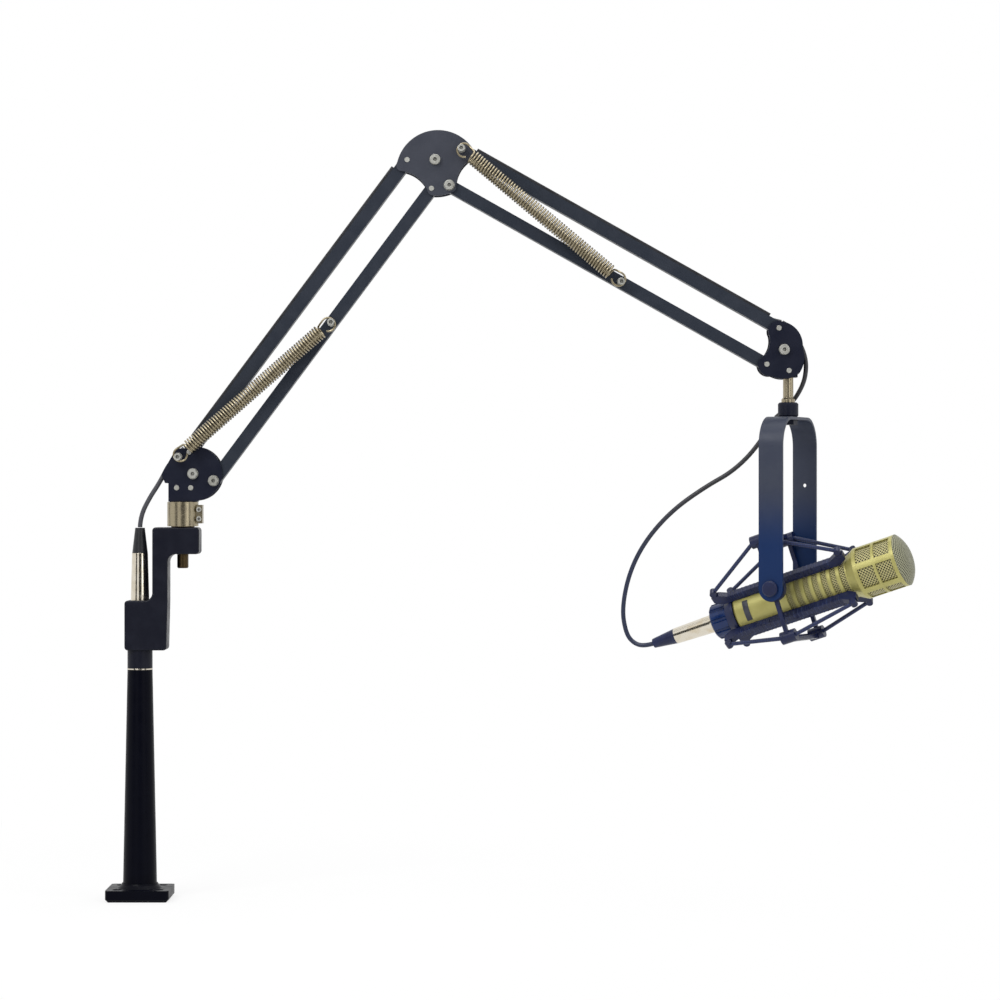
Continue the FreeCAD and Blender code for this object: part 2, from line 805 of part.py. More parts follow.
def build_swivel():
    low = z_hook - S.pin_drop
    high = z_collar_top - S.washer_height
    tip = S.pin_radius - S.pin_chamfer
    pin = revolved("swivel_pin", [
        (0, low), (tip, low), (S.pin_radius, low + S.pin_chamfer), (S.pin_radius, high), (0, high)])
    put(pin, x_swivel, 0, 0)

    body = new_body("swivel_collar")
    pad(body, draw_circle(sketch_on(body, "XY_Plane", z_collar), 0, 0, S.collar_radius), S.collar_height)
    middle = z_collar + S.collar_height / 2
    ear = box_corners(S.collar_radius / 2, -S.ear_depth / 2, S.ear_reach, S.ear_depth / 2)
    pad(body, draw(sketch_on(body, "XY_Plane", middle - S.ear_height / 2), ear), S.ear_height)
    hole = draw_circle(sketch_on(body, "XY_Plane", z_collar_top), 0, 0, S.pin_radius + S.fit_gap)
    pocket(body, hole, S.collar_height)
    slit = box_corners(0, -S.ear_slit / 2, S.ear_reach + S.ear_slit, S.ear_slit / 2)
    pocket(body, draw(sketch_on(body, "XY_Plane", z_collar_top), slit), S.collar_height)
    screw_x = S.ear_reach - S.clamp_screw_setback
    spots = [middle - S.clamp_screw_spread / 2, middle + S.clamp_screw_spread / 2]
    sketch = sketch_on(body, "XZ_Plane")
    for z in spots:
        draw_circle(sketch, screw_x, z, S.clamp_screw_radius + S.fit_gap)
    pocket(body, sketch, both=True)
    put(node(body, "swivel_collar"), x_swivel, 0, 0)

    screws = []
    face = -S.ear_depth / 2
    for z in spots:
        shank = rod_along_y(x_swivel + screw_x, z, face, -face, S.clamp_screw_radius)
        head = rod_along_y(x_swivel + screw_x, z, face - S.clamp_screw_head, face, S.clamp_screw_head)
        socket = hex_along_y(
            x_swivel + screw_x, z, face - S.clamp_screw_head, face - S.clamp_screw_head / 2,
            S.clamp_screw_radius)
        screws.append(cut(fused(shank, head), socket))
    grouped("collar_clamp_screws", screws)


def shoulder_spot(x, z):
    return (x_swivel + x, z_collar_top + z)


D1 = shoulder_spot(S.shoulder_pivot_x, S.shoulder_pivot_z)
D2 = (D1[0] + S.lower_link_x, D1[1] - S.lower_link_z)
C1 = (D1[0] + S.arm_length * cos_of(S.lower_arm_angle), D1[1] + S.arm_length * sin_of(S.lower_arm_angle))
C2 = (C1[0] + S.lower_link_x, C1[1] - S.lower_link_z)
A1 = (C1[0] + S.elbow_pivot_x, C1[1] + S.elbow_pivot_z)
A2 = (A1[0] - S.upper_link_x, A1[1] - S.upper_link_z)
B1 = (A1[0] + S.arm_length * cos_of(S.upper_arm_angle), A1[1] - S.arm_length * sin_of(S.upper_arm_angle))
B2 = (B1[0] - S.upper_link_x, B1[1] - S.upper_link_z)
LOWER_POST = shoulder_spot(-S.shoulder_post_x, S.shoulder_post_z)
LOWER_ANCHOR = (D2[0] + S.anchor_station * cos_of(S.lower_arm_angle),
                D2[1] + S.anchor_station * sin_of(S.lower_arm_angle))
UPPER_ANCHOR = (A2[0] + S.anchor_station * cos_of(S.upper_arm_angle),
                A2[1] - S.anchor_station * sin_of(S.upper_arm_angle))


def build_shoulder():
    rivets = [shoulder_spot(-S.shoulder_rivet_left, S.shoulder_rivet_z),
              shoulder_spot(S.shoulder_rivet_right, S.shoulder_rivet_z)]
    main = shoulder_spot(S.shoulder_bolt_x, S.shoulder_bolt_z)
    tab = S.face_gap
    outline = [
        shoulder_spot(-S.shoulder_tab_left, tab), shoulder_spot(S.shoulder_tab_right, tab),
        shoulder_spot(S.shoulder_disc_x, S.shoulder_disc_z),
        shoulder_spot(S.shoulder_disc_x, S.shoulder_ear_z),
        shoulder_spot(-S.shoulder_ear_x, S.shoulder_ear_z),
        shoulder_spot(-S.shoulder_cheek_x, S.shoulder_cheek_z),
        shoulder_spot(-S.shoulder_cheek_low_x, S.shoulder_cheek_low_z),
        shoulder_spot(-S.shoulder_tab_left, S.shoulder_cheek_low_z),
    ]
    deep = Vector(0, 1, 0)
    for label, front in (("shoulder_front_plate", True), ("shoulder_rear_plate", False)):
        body = new_body(label)
        pad(body, draw(plate_sketch(body, front), outline), S.plate_thickness)
        for size, corner in ((S.shoulder_ear_round, outline[4]), (S.shoulder_cheek_round, outline[5])):
            soften(body, size, lambda edge: runs_along(edge, deep) and near_point(edge, *corner))
        disc = shoulder_spot(S.shoulder_disc_x, S.shoulder_disc_z)
        pad(body, draw_circle(plate_sketch(body, front), *disc, S.shoulder_disc_radius), S.plate_thickness)
        holes = [(spot, S.block_rivet_radius) for spot in rivets]
        holes += [(main, S.bolt_radius), (D1, S.pivot_radius), (D2, S.pivot_radius)]
        plate_holes(body, holes)
        node(body, label)
    margin = S.shoulder_block_margin
    left = shoulder_spot(margin - S.shoulder_tab_left, 0)
    right = shoulder_spot(S.shoulder_tab_right - margin, 0)
    inset = PLATE_IN - S.fit_gap
    solid = block(left[0], -inset, z_collar_top, right[0], inset, z_collar_top + S.shoulder_block_height)
    bores = [rod_along_y(x, z, -PLATE_OUT, PLATE_OUT, S.block_rivet_radius + S.fit_gap) for x, z in rivets]
    for bore in bores:
        solid = cut(solid, bore)
    HELPERS.remove(solid)
    node(solid, "swivel_block")
    grouped("shoulder_main_bolt", [bolt(main, S.bolt_radius), spacer(main, S.bolt_radius)])
    small = [rivet(spot, S.block_rivet_radius) for spot in rivets]
    grouped("shoulder_pivot_pins", [rivet(D1), bolt(D2, S.pivot_radius)] + small)
    grouped("shoulder_spring_post", [post(LOWER_POST, -PLATE_OUT)])


LOWER_TURN = Rotation(Vector(0, 1, 0), -SIZES["lower_arm_angle"])
UPPER_TURN = Rotation(Vector(0, 1, 0), SIZES["upper_arm_angle"])


def build_bar(label, pivot, turned, channel):
    """Arm bar along its own X: square tube, or a channel open on its outer side, with pivot sleeves."""
    half = S.bar_width / 2
    length = S.arm_length
    body = new_body(label)
    corners = [(0, -half), (length, -half), (length, half), (0, half)]
    sketch = draw(sketch_on(body, "XZ_Plane"), corners, {1: (length + half, 0), 3: (-half, 0)}, S.bar_width)
    pad(body, sketch, S.bar_depth, symmetric=True)
    side = S.bar_depth / 2 - S.bar_wall
    top = half + S.bar_wall if channel else half - S.bar_wall
    core = draw(sketch_on(body, "YZ_Plane"), box_corners(-side, S.bar_wall - half, side, top))
    pocket(body, core, both=True)
    sleeves = sketch_on(body, "XZ_Plane")
    bores = sketch_on(body, "XZ_Plane")
    for station in (0, length):
        draw_circle(sleeves, station, 0, S.sleeve_radius)
        draw_circle(bores, station, 0, S.pivot_radius + S.fit_gap)
    pad(body, sleeves, S.bar_depth, symmetric=True)
    pocket(body, bores, both=True)
    return put(node(body, label), pivot[0], 0, pivot[1], turned)


def build_cover(label, pivot, turned):
    """Strip that closes the channel over the cable."""
    half = S.bar_width / 2
    body = new_body(label)
    side = S.bar_depth / 2
    start, stop = S.cover_setback, S.arm_length - S.cover_setback
    strip = draw(sketch_on(body, "XY_Plane", half), box_corners(start, -side, stop, side))
    pad(body, strip, S.cover_thickness)
    top = float(half + S.cover_thickness)
    along = Vector(1, 0, 0)
    lowest = top - float(S.fit_gap)
    soften(body, S.cover_round, lambda edge: runs_along(edge, along) and edge.BoundBox.ZMin > lowest)
    return put(node(body, label), pivot[0], 0, pivot[1], turned)


def bar_point(pivot, turned, station, lift):
    spot = turned.multVec(Vector(float(station), 0, float(lift)))
    return Vector(float(pivot[0]) + spot.x, 0, float(pivot[1]) + spot.z)


def build_arms():
    build_bar("lower_outer_bar", D1, LOWER_TURN, True)
    build_cover("lower_cable_cover", D1, LOWER_TURN)
    build_bar("lower_inner_bar", D2, LOWER_TURN, False)
    grouped("lower_spring_anchor", [post(LOWER_ANCHOR, -S.bar_depth / 2)])
    build_bar("upper_outer_bar", A1, UPPER_TURN, True)
    build_cover("upper_cable_cover", A1, UPPER_TURN)
    build_bar("upper_inner_bar", A2, UPPER_TURN, False)
    grouped("upper_spring_anchor", [post(UPPER_ANCHOR, -S.bar_depth / 2)])
    for label, pivot, turned in (("lower_cable_run", D1, LOWER_TURN), ("upper_cable_run", A1, UPPER_TURN)):
        length = S.arm_length
        stations = [(0, S.cable_lift), (S.cable_dive, S.cable_seat), (S.cable_dive * 2, S.cable_seat),
                    (length / 2, S.cable_seat), (length - S.cable_dive * 2, S.cable_seat),
                    (length - S.cable_dive, S.cable_seat), (length, S.cable_lift)]
        lead(label, [bar_point(pivot, turned, *station) for station in stations])


def elbow_spot(x, z):
    return (C1[0] + x, C1[1] + z)


def build_elbow():
    main = elbow_spot(S.elbow_bolt_x, S.elbow_bolt_z)
    disc = elbow_spot(S.elbow_disc_x, -S.elbow_disc_z)
    foot = elbow_spot(S.elbow_foot_x, S.elbow_foot_z)
    left = elbow_spot(-S.elbow_left_cut_x, -S.elbow_left_cut_z)
    right = elbow_spot(S.elbow_right_cut_x, -S.elbow_right_cut_z)
    cuts = [(left, S.elbow_left_cut_radius), (right, S.elbow_right_cut_radius)]
    deep = Vector(0, 1, 0)
    for label, front in (("elbow_front_plate", True), ("elbow_rear_plate", False)):
        body = new_body(label)
        pad(body, draw_circle(plate_sketch(body, front), *disc, S.elbow_disc_radius), S.plate_thickness)
        trim = draw_circle(sketch_on(body, "XZ_Plane"), *foot, S.elbow_foot_radius)
        draw_circle(trim, *foot, S.elbow_foot_radius * 2)
        pocket(body, trim, both=True)
        for spot, radius in cuts:
            pocket(body, draw_circle(sketch_on(body, "XZ_Plane"), *spot, radius), both=True)
        soften(body, S.elbow_round, lambda edge: runs_along(edge, deep) and any(
            on_circle(edge, *arc_cut) for arc_cut in cuts))
        holes = [(main, S.bolt_radius)]
        holes += [(spot, S.pivot_radius) for spot in (C1, C2, A1, A2)]
        plate_holes(body, holes)
        node(body, label)
    grouped("elbow_main_bolt", [bolt(main, S.bolt_radius, False), spacer(main, S.bolt_radius)])
    grouped("elbow_pivot_pins", [rivet(C1), rivet(C2), bolt(A2, S.pivot_radius)])
    tail = rod_along_y(*A1, -PLATE_OUT, PLATE_OUT, S.pivot_radius)
    back = rod_along_y(*A1, PLATE_OUT, PLATE_OUT + S.rivet_rise, S.rivet_head_radius)
    grouped("elbow_spring_post", [fused(post(A1, -PLATE_OUT), tail, back)])
    centre = Vector(float(disc[0]), 0, float(disc[1]))
    start = bar_point(D1, LOWER_TURN, S.arm_length, S.cable_lift)
    stop = bar_point(A1, UPPER_TURN, 0, S.cable_lift)
    reach = ((start - centre).Length + (stop - centre).Length) / 2
    first = math.atan2((start - centre).z, (start - centre).x)
    last = math.atan2((stop - centre).z, (stop - centre).x)
    steps = 3
    step = (last - first) / steps
    route = [start]
    for index in range(steps):
        angle = first + step * (index + 0.5)
        radius = reach / math.cos(step / 2)
        route.append(centre + Vector(radius * math.cos(angle), 0, radius * math.sin(angle)))
    lead("elbow_cable", route + [stop])


STUD_X = B1[0] + S.stud_x
STUD_TOP = B1[1] - S.stud_block_bottom


def build_head():
    main = (B1[0] + S.head_bolt_x, B1[1] - S.head_bolt_z)
    low = (STUD_X, B1[1] - S.stud_bolt_z)
    span = S.head_plate_span
    points = [(B1[0] + span * x, B1[1] + span * z) for x, z in HEAD_PLATE_SHARES]
    corners = points[0::2]
    middles = {index: spot for index, spot in enumerate(points[1::2])}
    for label, front in (("head_front_plate", True), ("head_rear_plate", False)):
        body = new_body(label)
        pad(body, draw(plate_sketch(body, front), corners, middles, span), S.plate_thickness)
        holes = [(main, S.bolt_radius), (low, S.block_rivet_radius)]
        holes += [(B1, S.pivot_radius), (B2, S.pivot_radius)]
        plate_holes(body, holes)
        node(body, label)
    grouped("head_main_bolt", [bolt(main, S.bolt_radius, False), spacer(main, S.bolt_radius)])
    grouped("head_rivets", [rivet(B1), rivet(B2), rivet(low, S.block_rivet_radius)])
    half = S.stud_block_width / 2
    inset = PLATE_IN - S.fit_gap
    solid = block(STUD_X - half, -inset, STUD_TOP, STUD_X + half, inset, B1[1] - S.stud_block_top)
    solid = cut(solid, rod_along_y(*low, -PLATE_OUT, PLATE_OUT, S.block_rivet_radius + S.fit_gap))
    tenon = helper("Cylinder", "tenon")
    sizes = (S.stud_tenon_radius + S.fit_gap, S.stud_tenon_height + S.fit_gap)
    for prop, size in zip(("Radius", "Height"), sizes):
        setattr(tenon, prop, float(size))
        bind(tenon, prop, size)
    put(tenon, STUD_X, 0, STUD_TOP)
    solid = cut(solid, tenon)
    HELPERS.remove(solid)
    node(solid, "stud_block")
    flare = -S.stud_length
    rim = flare - S.stud_flare_height
    stud = revolved("head_stud", [
        (0, rim - S.stud_thread_length), (S.stud_thread_radius, rim - S.stud_thread_length),
        (S.stud_thread_radius, rim), (S.stud_flare_radius, rim),
        (S.stud_flare_radius, flare - S.edge_break * 4),
        (S.stud_radius, flare), (S.stud_radius, 0), (S.stud_tenon_radius, 0),
        (S.stud_tenon_radius, S.stud_tenon_height), (0, S.stud_tenon_height)])
    put(stud, STUD_X, 0, STUD_TOP)


NUT_TOP = STUD_TOP - S.stud_length - S.stud_flare_height - S.fit_gap
YOKE_TOP = NUT_TOP - S.yoke_nut_height
TILT_Z = YOKE_TOP - S.yoke_drop
YAW = Rotation(Vector(0, 0, 1), -SIZES["yoke_yaw"])
MIC_TURN = YAW.multiply(Rotation(Vector(0, 1, 0), -SIZES["mic_pitch"]))


def build_yoke():
    bore = S.stud_thread_radius + S.fit_gap
    deep = S.stud_thread_length + S.face_gap
    height = S.yoke_nut_height
    under = -(height + S.yoke_thickness + S.yoke_lock_height)
    edge = S.edge_break * 3
    nut = turned_helper([
        (bore, 0), (S.yoke_nut_radius - edge, 0), (S.yoke_nut_radius, -edge),
        (S.yoke_nut_radius, edge - height),
        (S.yoke_nut_radius - edge, -height), (S.yoke_spigot_radius, -height), (S.yoke_spigot_radius, under),
        (0, under), (0, -deep), (bore, -deep)])
    put(nut, STUD_X, 0, NUT_TOP)
    body = new_body("yoke_lock_nut")
    lock = sketch_on(body, "XY_Plane")
    sixth = math.pi / 3
    corners = [(S.yoke_lock_radius * math.cos(sixth * side), S.yoke_lock_radius * math.sin(sixth * side))
               for side in range(6)]
    draw_circle(draw(lock, corners), 0, 0, S.yoke_spigot_radius + S.fit_gap)
    pad(body, lock, S.yoke_lock_height - S.fit_gap)
    put(body, STUD_X, 0, YOKE_TOP - S.yoke_thickness - S.yoke_lock_height)
    grouped("yoke_nut", [nut, body])

    strap = new_body("yoke_strap")
    gap, thick, bend = S.yoke_half_gap, S.yoke_thickness, S.yoke_bend_radius
    outer, top = gap + thick, S.yoke_drop
    low = -S.yoke_width / 2
    inside = bend - thick
    slant = 1 - math.sqrt(0.5)
    corners = [
        (gap, low), (outer, low), (outer, top - bend), (outer - bend, top), (bend - outer, top),
        (-outer, top - bend), (-outer, low), (-gap, low), (-gap, top - bend), (bend - outer, top - thick),
        (outer - bend, top - thick), (gap, top - bend)]
    arcs = {
        2: (outer - bend * slant, top - bend * slant), 4: (bend * slant - outer, top - bend * slant),
        8: (inside * slant - gap, top - thick - inside * slant),
        10: (gap - inside * slant, top - thick - inside * slant)}
    sketch = draw(sketch_on(strap, "YZ_Plane"), corners, arcs, bend)
    pad(strap, sketch, S.yoke_width, symmetric=True)
    across = Vector(0, 1, 0)
    bottom = float(low)
    soften(strap, S.yoke_width / 2 - S.edge_break / 4, lambda item: runs_along(item, across) and abs(
        item.BoundBox.Center.z - bottom) < float(S.fit_gap))
    tilt = draw_circle(sketch_on(strap, "XZ_Plane"), 0, 0, S.tilt_bolt_radius + S.fit_gap)
    pocket(strap, tilt, both=True)
    crown = draw_circle(sketch_on(strap, "XY_Plane", top), 0, 0, S.yoke_spigot_radius + S.fit_gap)
    pocket(strap, crown, thick * 2)
    rear = draw_circle(sketch_on(strap, "XZ_Plane"), 0, S.yoke_hole_rise, S.yoke_hole_radius)
    pocket(strap, rear)
    put(node(strap, "yoke_strap"), STUD_X, 0, TILT_Z, YAW)

    knobs = []
    for side in (-1, 1):
        knob = new_body("tilt_bolt")
        reach = S.yoke_half_gap - S.tilt_bolt_reach
        section = [
            (0, reach), (S.tilt_bolt_radius, reach), (S.tilt_bolt_radius, outer), (S.tilt_knob_radius, outer),
            (S.tilt_knob_radius, outer + S.tilt_knob_height - S.edge_break * 2),
            (S.tilt_knob_radius - S.edge_break * 2, outer + S.tilt_knob_height),
            (0, outer + S.tilt_knob_height)]
        turn(knob, draw(sketch_on(knob, "XZ_Plane"), section), "V_Axis")
        put(knob, STUD_X, 0, TILT_Z, YAW.multiply(Rotation(Vector(1, 0, 0), -90 * side)))
        HELPERS.append(knob)
        knobs.append(knob)
    grouped("tilt_bolts", knobs)


def on_mic(thing):
    return put(thing, STUD_X, 0, TILT_Z, MIC_TURN)


def mic_point(a, c, b):
    """World point from a station along the microphone, a side step and a rise, all from the tilt axis."""
    spot = MIC_TURN.multVec(Vector(float(a), float(c), float(b)))
    return Vector(float(STUD_X), 0, float(TILT_Z)) + spot


def build_ring():
    rod = S.ring_rod / 2
    wide, high = S.ring_half_width, S.ring_half_height
    body = new_body("suspension_ring")
    sketch = draw(sketch_on(body, "YZ_Plane"), box_corners(-wide - rod, -high - rod, wide + rod, high + rod))
    pad(body, sketch, S.ring_rod, symmetric=True)
    along = Vector(1, 0, 0)
    soften(body, S.ring_round, lambda edge: runs_along(edge, along))
    hole = draw(sketch_on(body, "YZ_Plane"), box_corners(rod - wide, rod - high, wide - rod, high - rod))
    pocket(body, hole, both=True)
    face = S.yoke_half_gap - S.face_gap
    for near, length in ((S.hub_inner, face - S.hub_inner), (-face, face - S.hub_inner)):
        pad(body, draw_circle(sketch_on(body, "XZ_Plane", near), 0, 0, S.hub_radius), length)
    bore = draw_circle(sketch_on(body, "XZ_Plane"), 0, 0, S.tilt_bolt_radius + S.fit_gap)
    pocket(body, bore, both=True)
    on_mic(node(body, "suspension_ring"))

    cleats = []
    for side in (-1, 1):
        for rise in (-1, 1):
            barrel = helper("Cylinder", "cleat")
            for prop, size in (("Radius", S.cleat_radius), ("Height", S.cleat_length)):
                setattr(barrel, prop, float(size))
                bind(barrel, prop, size)
            across, up = side * (wide - S.cleat_inset), rise * (high - S.cleat_inset)
            spot = mic_point(-S.cleat_length / 2, across, up)
            barrel.Placement = Placement(spot, MIC_TURN.multiply(Rotation(Vector(0, 1, 0), 90)))
            cleats.append(cut(barrel, body))
    return grouped("cord_cleats", cleats)


def build_cords(cleats, frame):
    """Elastic strands from the ends of the cleats to the hooks of the rails."""
    cords = []
    across, up = S.ring_half_width - S.cleat_inset, S.ring_half_height - S.cleat_inset
    hook_mid = S.rail_half_length + S.hook_length / 2
    reach = S.hook_outer * math.sqrt(0.5)
    for end in (-1, 1):
        for side in (-1, 1):
            for rise in (-1, 1):
                start = mic_point(end * S.cord_stand, side * across, rise * up)
                stop = mic_point(end * hook_mid, side * reach, rise * reach - S.mic_sag)
                strand = helper("Cylinder", "strand")
                strand.Radius = SIZES["cord_radius"]
                bind(strand, "Radius", S.cord_radius)
                strand.Height = (stop - start).Length
                strand.Placement = Placement(start, Rotation(Vector(0, 0, 1), stop - start))
                cords.append(cut(cut(strand, cleats), frame))
    grouped("suspension_cords", cords)


def build_cage(cleats):
    rails = []
    half, hook = S.rail_half_length, S.hook_length
    for quarter in range(4):
        rail = new_body("rail")
        corners = [
            (-half, S.rail_inner), (half, S.rail_inner), (half + hook, S.rail_outer - S.rail_thickness / 2),
            (half + hook, S.hook_outer - S.hook_radius), (half, S.hook_outer - S.hook_radius),
            (half - hook, S.rail_outer),
            (hook - half, S.rail_outer), (-half, S.hook_outer - S.hook_radius),
            (-half - hook, S.hook_outer - S.hook_radius), (-half - hook, S.rail_outer - S.rail_thickness / 2)]
        pad(rail, draw(sketch_on(rail, "XZ_Plane"), corners), S.rail_thickness, symmetric=True)
        pegs = sketch_on(rail, "XZ_Plane")
        for station in (-half - hook / 2, half + hook / 2):
            draw_circle(pegs, station, S.hook_outer, S.hook_radius)
        pad(rail, pegs, S.rail_thickness, symmetric=True)
        spin = Rotation(Vector(1, 0, 0), 45 + 90 * quarter)
        base = mic_point(0, 0, -S.mic_sag)
        rail.Placement = Placement(base, MIC_TURN.multiply(spin))
        HELPERS.append(rail)
        rails.append(rail)
    tail = S.mic_tail_radius + S.fit_gap
    front, back = -S.cage_hub_front, -S.cage_hub_back
    hub = turned_helper([
        (back, tail), (back, S.cage_collar_radius), (front - S.edge_break * 4, S.cage_hub_radius),
        (front, S.cage_hub_radius), (front, tail)], "H_Axis")
    frame = grouped("cage_frame", rails + [mic_axis(hub)])
    build_cords(cleats, frame)
    collar = new_body("cage_collar")
    rear = -S.cage_collar_back
    step = back - S.fit_gap
    edge = S.edge_break * 3
    section = [
        (rear, tail), (rear, S.cage_collar_radius - edge), (rear + edge, S.cage_collar_radius),
        (step, S.cage_collar_radius), (step, tail)]
    turn(collar, draw(sketch_on(collar, "XZ_Plane"), section), "H_Axis")
    grooves = sketch_on(collar, "YZ_Plane")
    for index in range(COLLAR_GROOVES):
        angle = 2 * math.pi * index / COLLAR_GROOVES
        draw_circle(grooves, S.cage_collar_radius * math.cos(angle), S.cage_collar_radius * math.sin(angle),
                    S.collar_groove_radius)
    pocket(collar, grooves, both=True)
    mic_axis(node(collar, "cage_collar"))


def mic_axis(thing):
    spot = mic_point(0, 0, -S.mic_sag)
    thing.Placement = Placement(spot, MIC_TURN)
    return thing


def build_mic():
    radius, floor = S.mic_radius, S.mic_slot_floor
    edge = S.edge_break * 4
    points = [(-S.mic_tail_back, 0), (-S.mic_tail_back, S.mic_tail_radius), (-S.mic_back, S.mic_tail_radius),
              (-S.mic_back, radius - edge), (edge - S.mic_back, radius)]
    for index in range(SLOT_COUNT):
        near = S.mic_slot_start + S.mic_slot_pitch * index
        far = near + S.mic_slot_width
        points += [(near, radius), (near, floor), (far, floor), (far, radius)]
    neck, head = S.mic_neck_start, S.mic_head_start
    wall = S.mic_head_wall
    points += [(neck, radius), (neck, 0)]
    mic_axis(revolved("mic_body", points, "H_Axis"))

    bands = new_body("side_mesh")
    for index in range(SLOT_COUNT):
        near = S.mic_slot_start + S.mic_slot_pitch * index + S.fit_gap
        far = near + S.mic_slot_width - S.fit_gap * 2
        low = floor + S.fit_gap
        section = draw(sketch_on(bands, "XZ_Plane"), box_corners(near, low, far, low + S.mic_band_height))
        turn(bands, section, "H_Axis")
    mic_axis(bands)

    rim, big = S.mic_rim, S.mic_head_radius
    step = neck + S.fit_gap
    shell = new_body("mic_head_shell")
    section = draw(sketch_on(shell, "XZ_Plane"), [
        (step, 0), (step, radius), (head, big), (rim, big), (rim, big - wall), (head, big - wall),
        (head - wall, radius - wall * 2), (head - wall, 0)])
    turn(shell, section, "H_Axis")
    gap = S.window_front_gap
    for near in (head + gap, rim - gap - S.window_length):
        for index in range(WINDOW_COUNT // 2):
            cutter = sketch_on(shell, "XY_Plane")
            cutter.AttachmentOffset = Placement(
                Vector(0, 0, 0), Rotation(Vector(1, 0, 0), SIZES["window_turn"] + 360 * index / WINDOW_COUNT))
            half = S.window_width / 2
            draw(cutter, box_corners(near, -half, near + S.window_length, half))
            pocket(shell, cutter, both=True)
    mic_axis(node(shell, "mic_head_shell"))
    liner = big - wall - S.fit_gap
    sleeve = turned_helper([
        (head + S.fit_gap, liner - S.mesh_wall), (rim, liner - S.mesh_wall), (rim, liner),
        (head + S.fit_gap, liner)], "H_Axis")
    grouped("mic_mesh", [bands, mic_axis(sleeve)])
    front = S.mic_front
    inner_front = front - S.mesh_wall * 2
    begin = rim + S.fit_gap
    bow = big * GRILLE_BOW_SHARE
    inner_big = big - S.mesh_wall * 2
    grille = [(begin, inner_big), (begin, big), (front, 0), (inner_front, 0)]
    arcs = {1: (begin + (front - begin) * GRILLE_RISE_SHARE, bow),
            3: (begin + (inner_front - begin) * GRILLE_RISE_SHARE, bow - S.mesh_wall)}
    mic_axis(revolved("front_grille", grille, "H_Axis", arcs, big))
    stem = S.mic_tail_radius / 2
    mic_axis(revolved("mic_capsule", [
        (head - wall + S.fit_gap, 0), (head - wall + S.fit_gap, stem), (S.capsule_back, stem),
        (S.capsule_back, S.capsule_radius), (S.capsule_front, S.capsule_radius),
        (S.capsule_front, 0)], "H_Axis"))

    badge = new_body("badge")
    station = -S.badge_station
    low = radius + S.fit_gap
    plate = draw(sketch_on(badge, "XZ_Plane"), box_corners(
        station - S.badge_length / 2, low, station + S.badge_length / 2, low + S.badge_height))
    feature = turn(badge, plate, "H_Axis")
    feature.Midplane = True
    feature.Angle = SIZES["badge_angle"]
    bind(feature, "Angle", S.badge_angle)
    node(badge, "mic_badge")
    badge.Placement = Placement(mic_point(0, 0, -S.mic_sag), MIC_TURN.multiply(Rotation(Vector(1, 0, 0), 90)))

    nose = -S.mic_tail_back - S.tail_plug_nose
    tip = nose - S.plug_height
    tail_end = tip - S.boot_height
    mic_axis(revolved("mic_plug_barrel", [
        (nose, 0), (nose, S.plug_radius), (nose - S.plug_straight, S.plug_radius),
        (tip, S.plug_tip_radius), (tip, 0)],
        "H_Axis"))
    mic_axis(revolved("mic_plug_boot", [
        (tip, 0), (tip, S.boot_radius), (tail_end, S.boot_tip_radius), (tail_end, 0)], "H_Axis"))
    return tail_end


def biarc(p0, t0, p1, t1):
    """Two arcs that leave p0 along t0, meet smoothly and arrive at p1 along t1."""
    v = p1 - p0
    t = t0 + t1
    k = 2 * (1 - t0.dot(t1))
    vt = v.dot(t)
    if abs(k) < 1e-9:
        d = v.dot(v) / (2 * vt)
    else:
        d = (-vt + math.sqrt(vt * vt + k * v.dot(v))) / k
    middle = (p0 + p1 + (t0 - t1) * d) * 0.5
    return [arc(p0, p0 + t0 * d, middle), arc(middle, p1 - t1 * d, p1)]


def arc(a, corner, b):
    """Arc from a to b whose end tangents meet at a corner."""
    half = ((a - b) * 0.5).Length
    mid = (a + b) * 0.5
    reach = (corner - a).Length
    via = mid + (corner - mid) * (half / (half + reach))
    return Part.Arc(a, via, b)


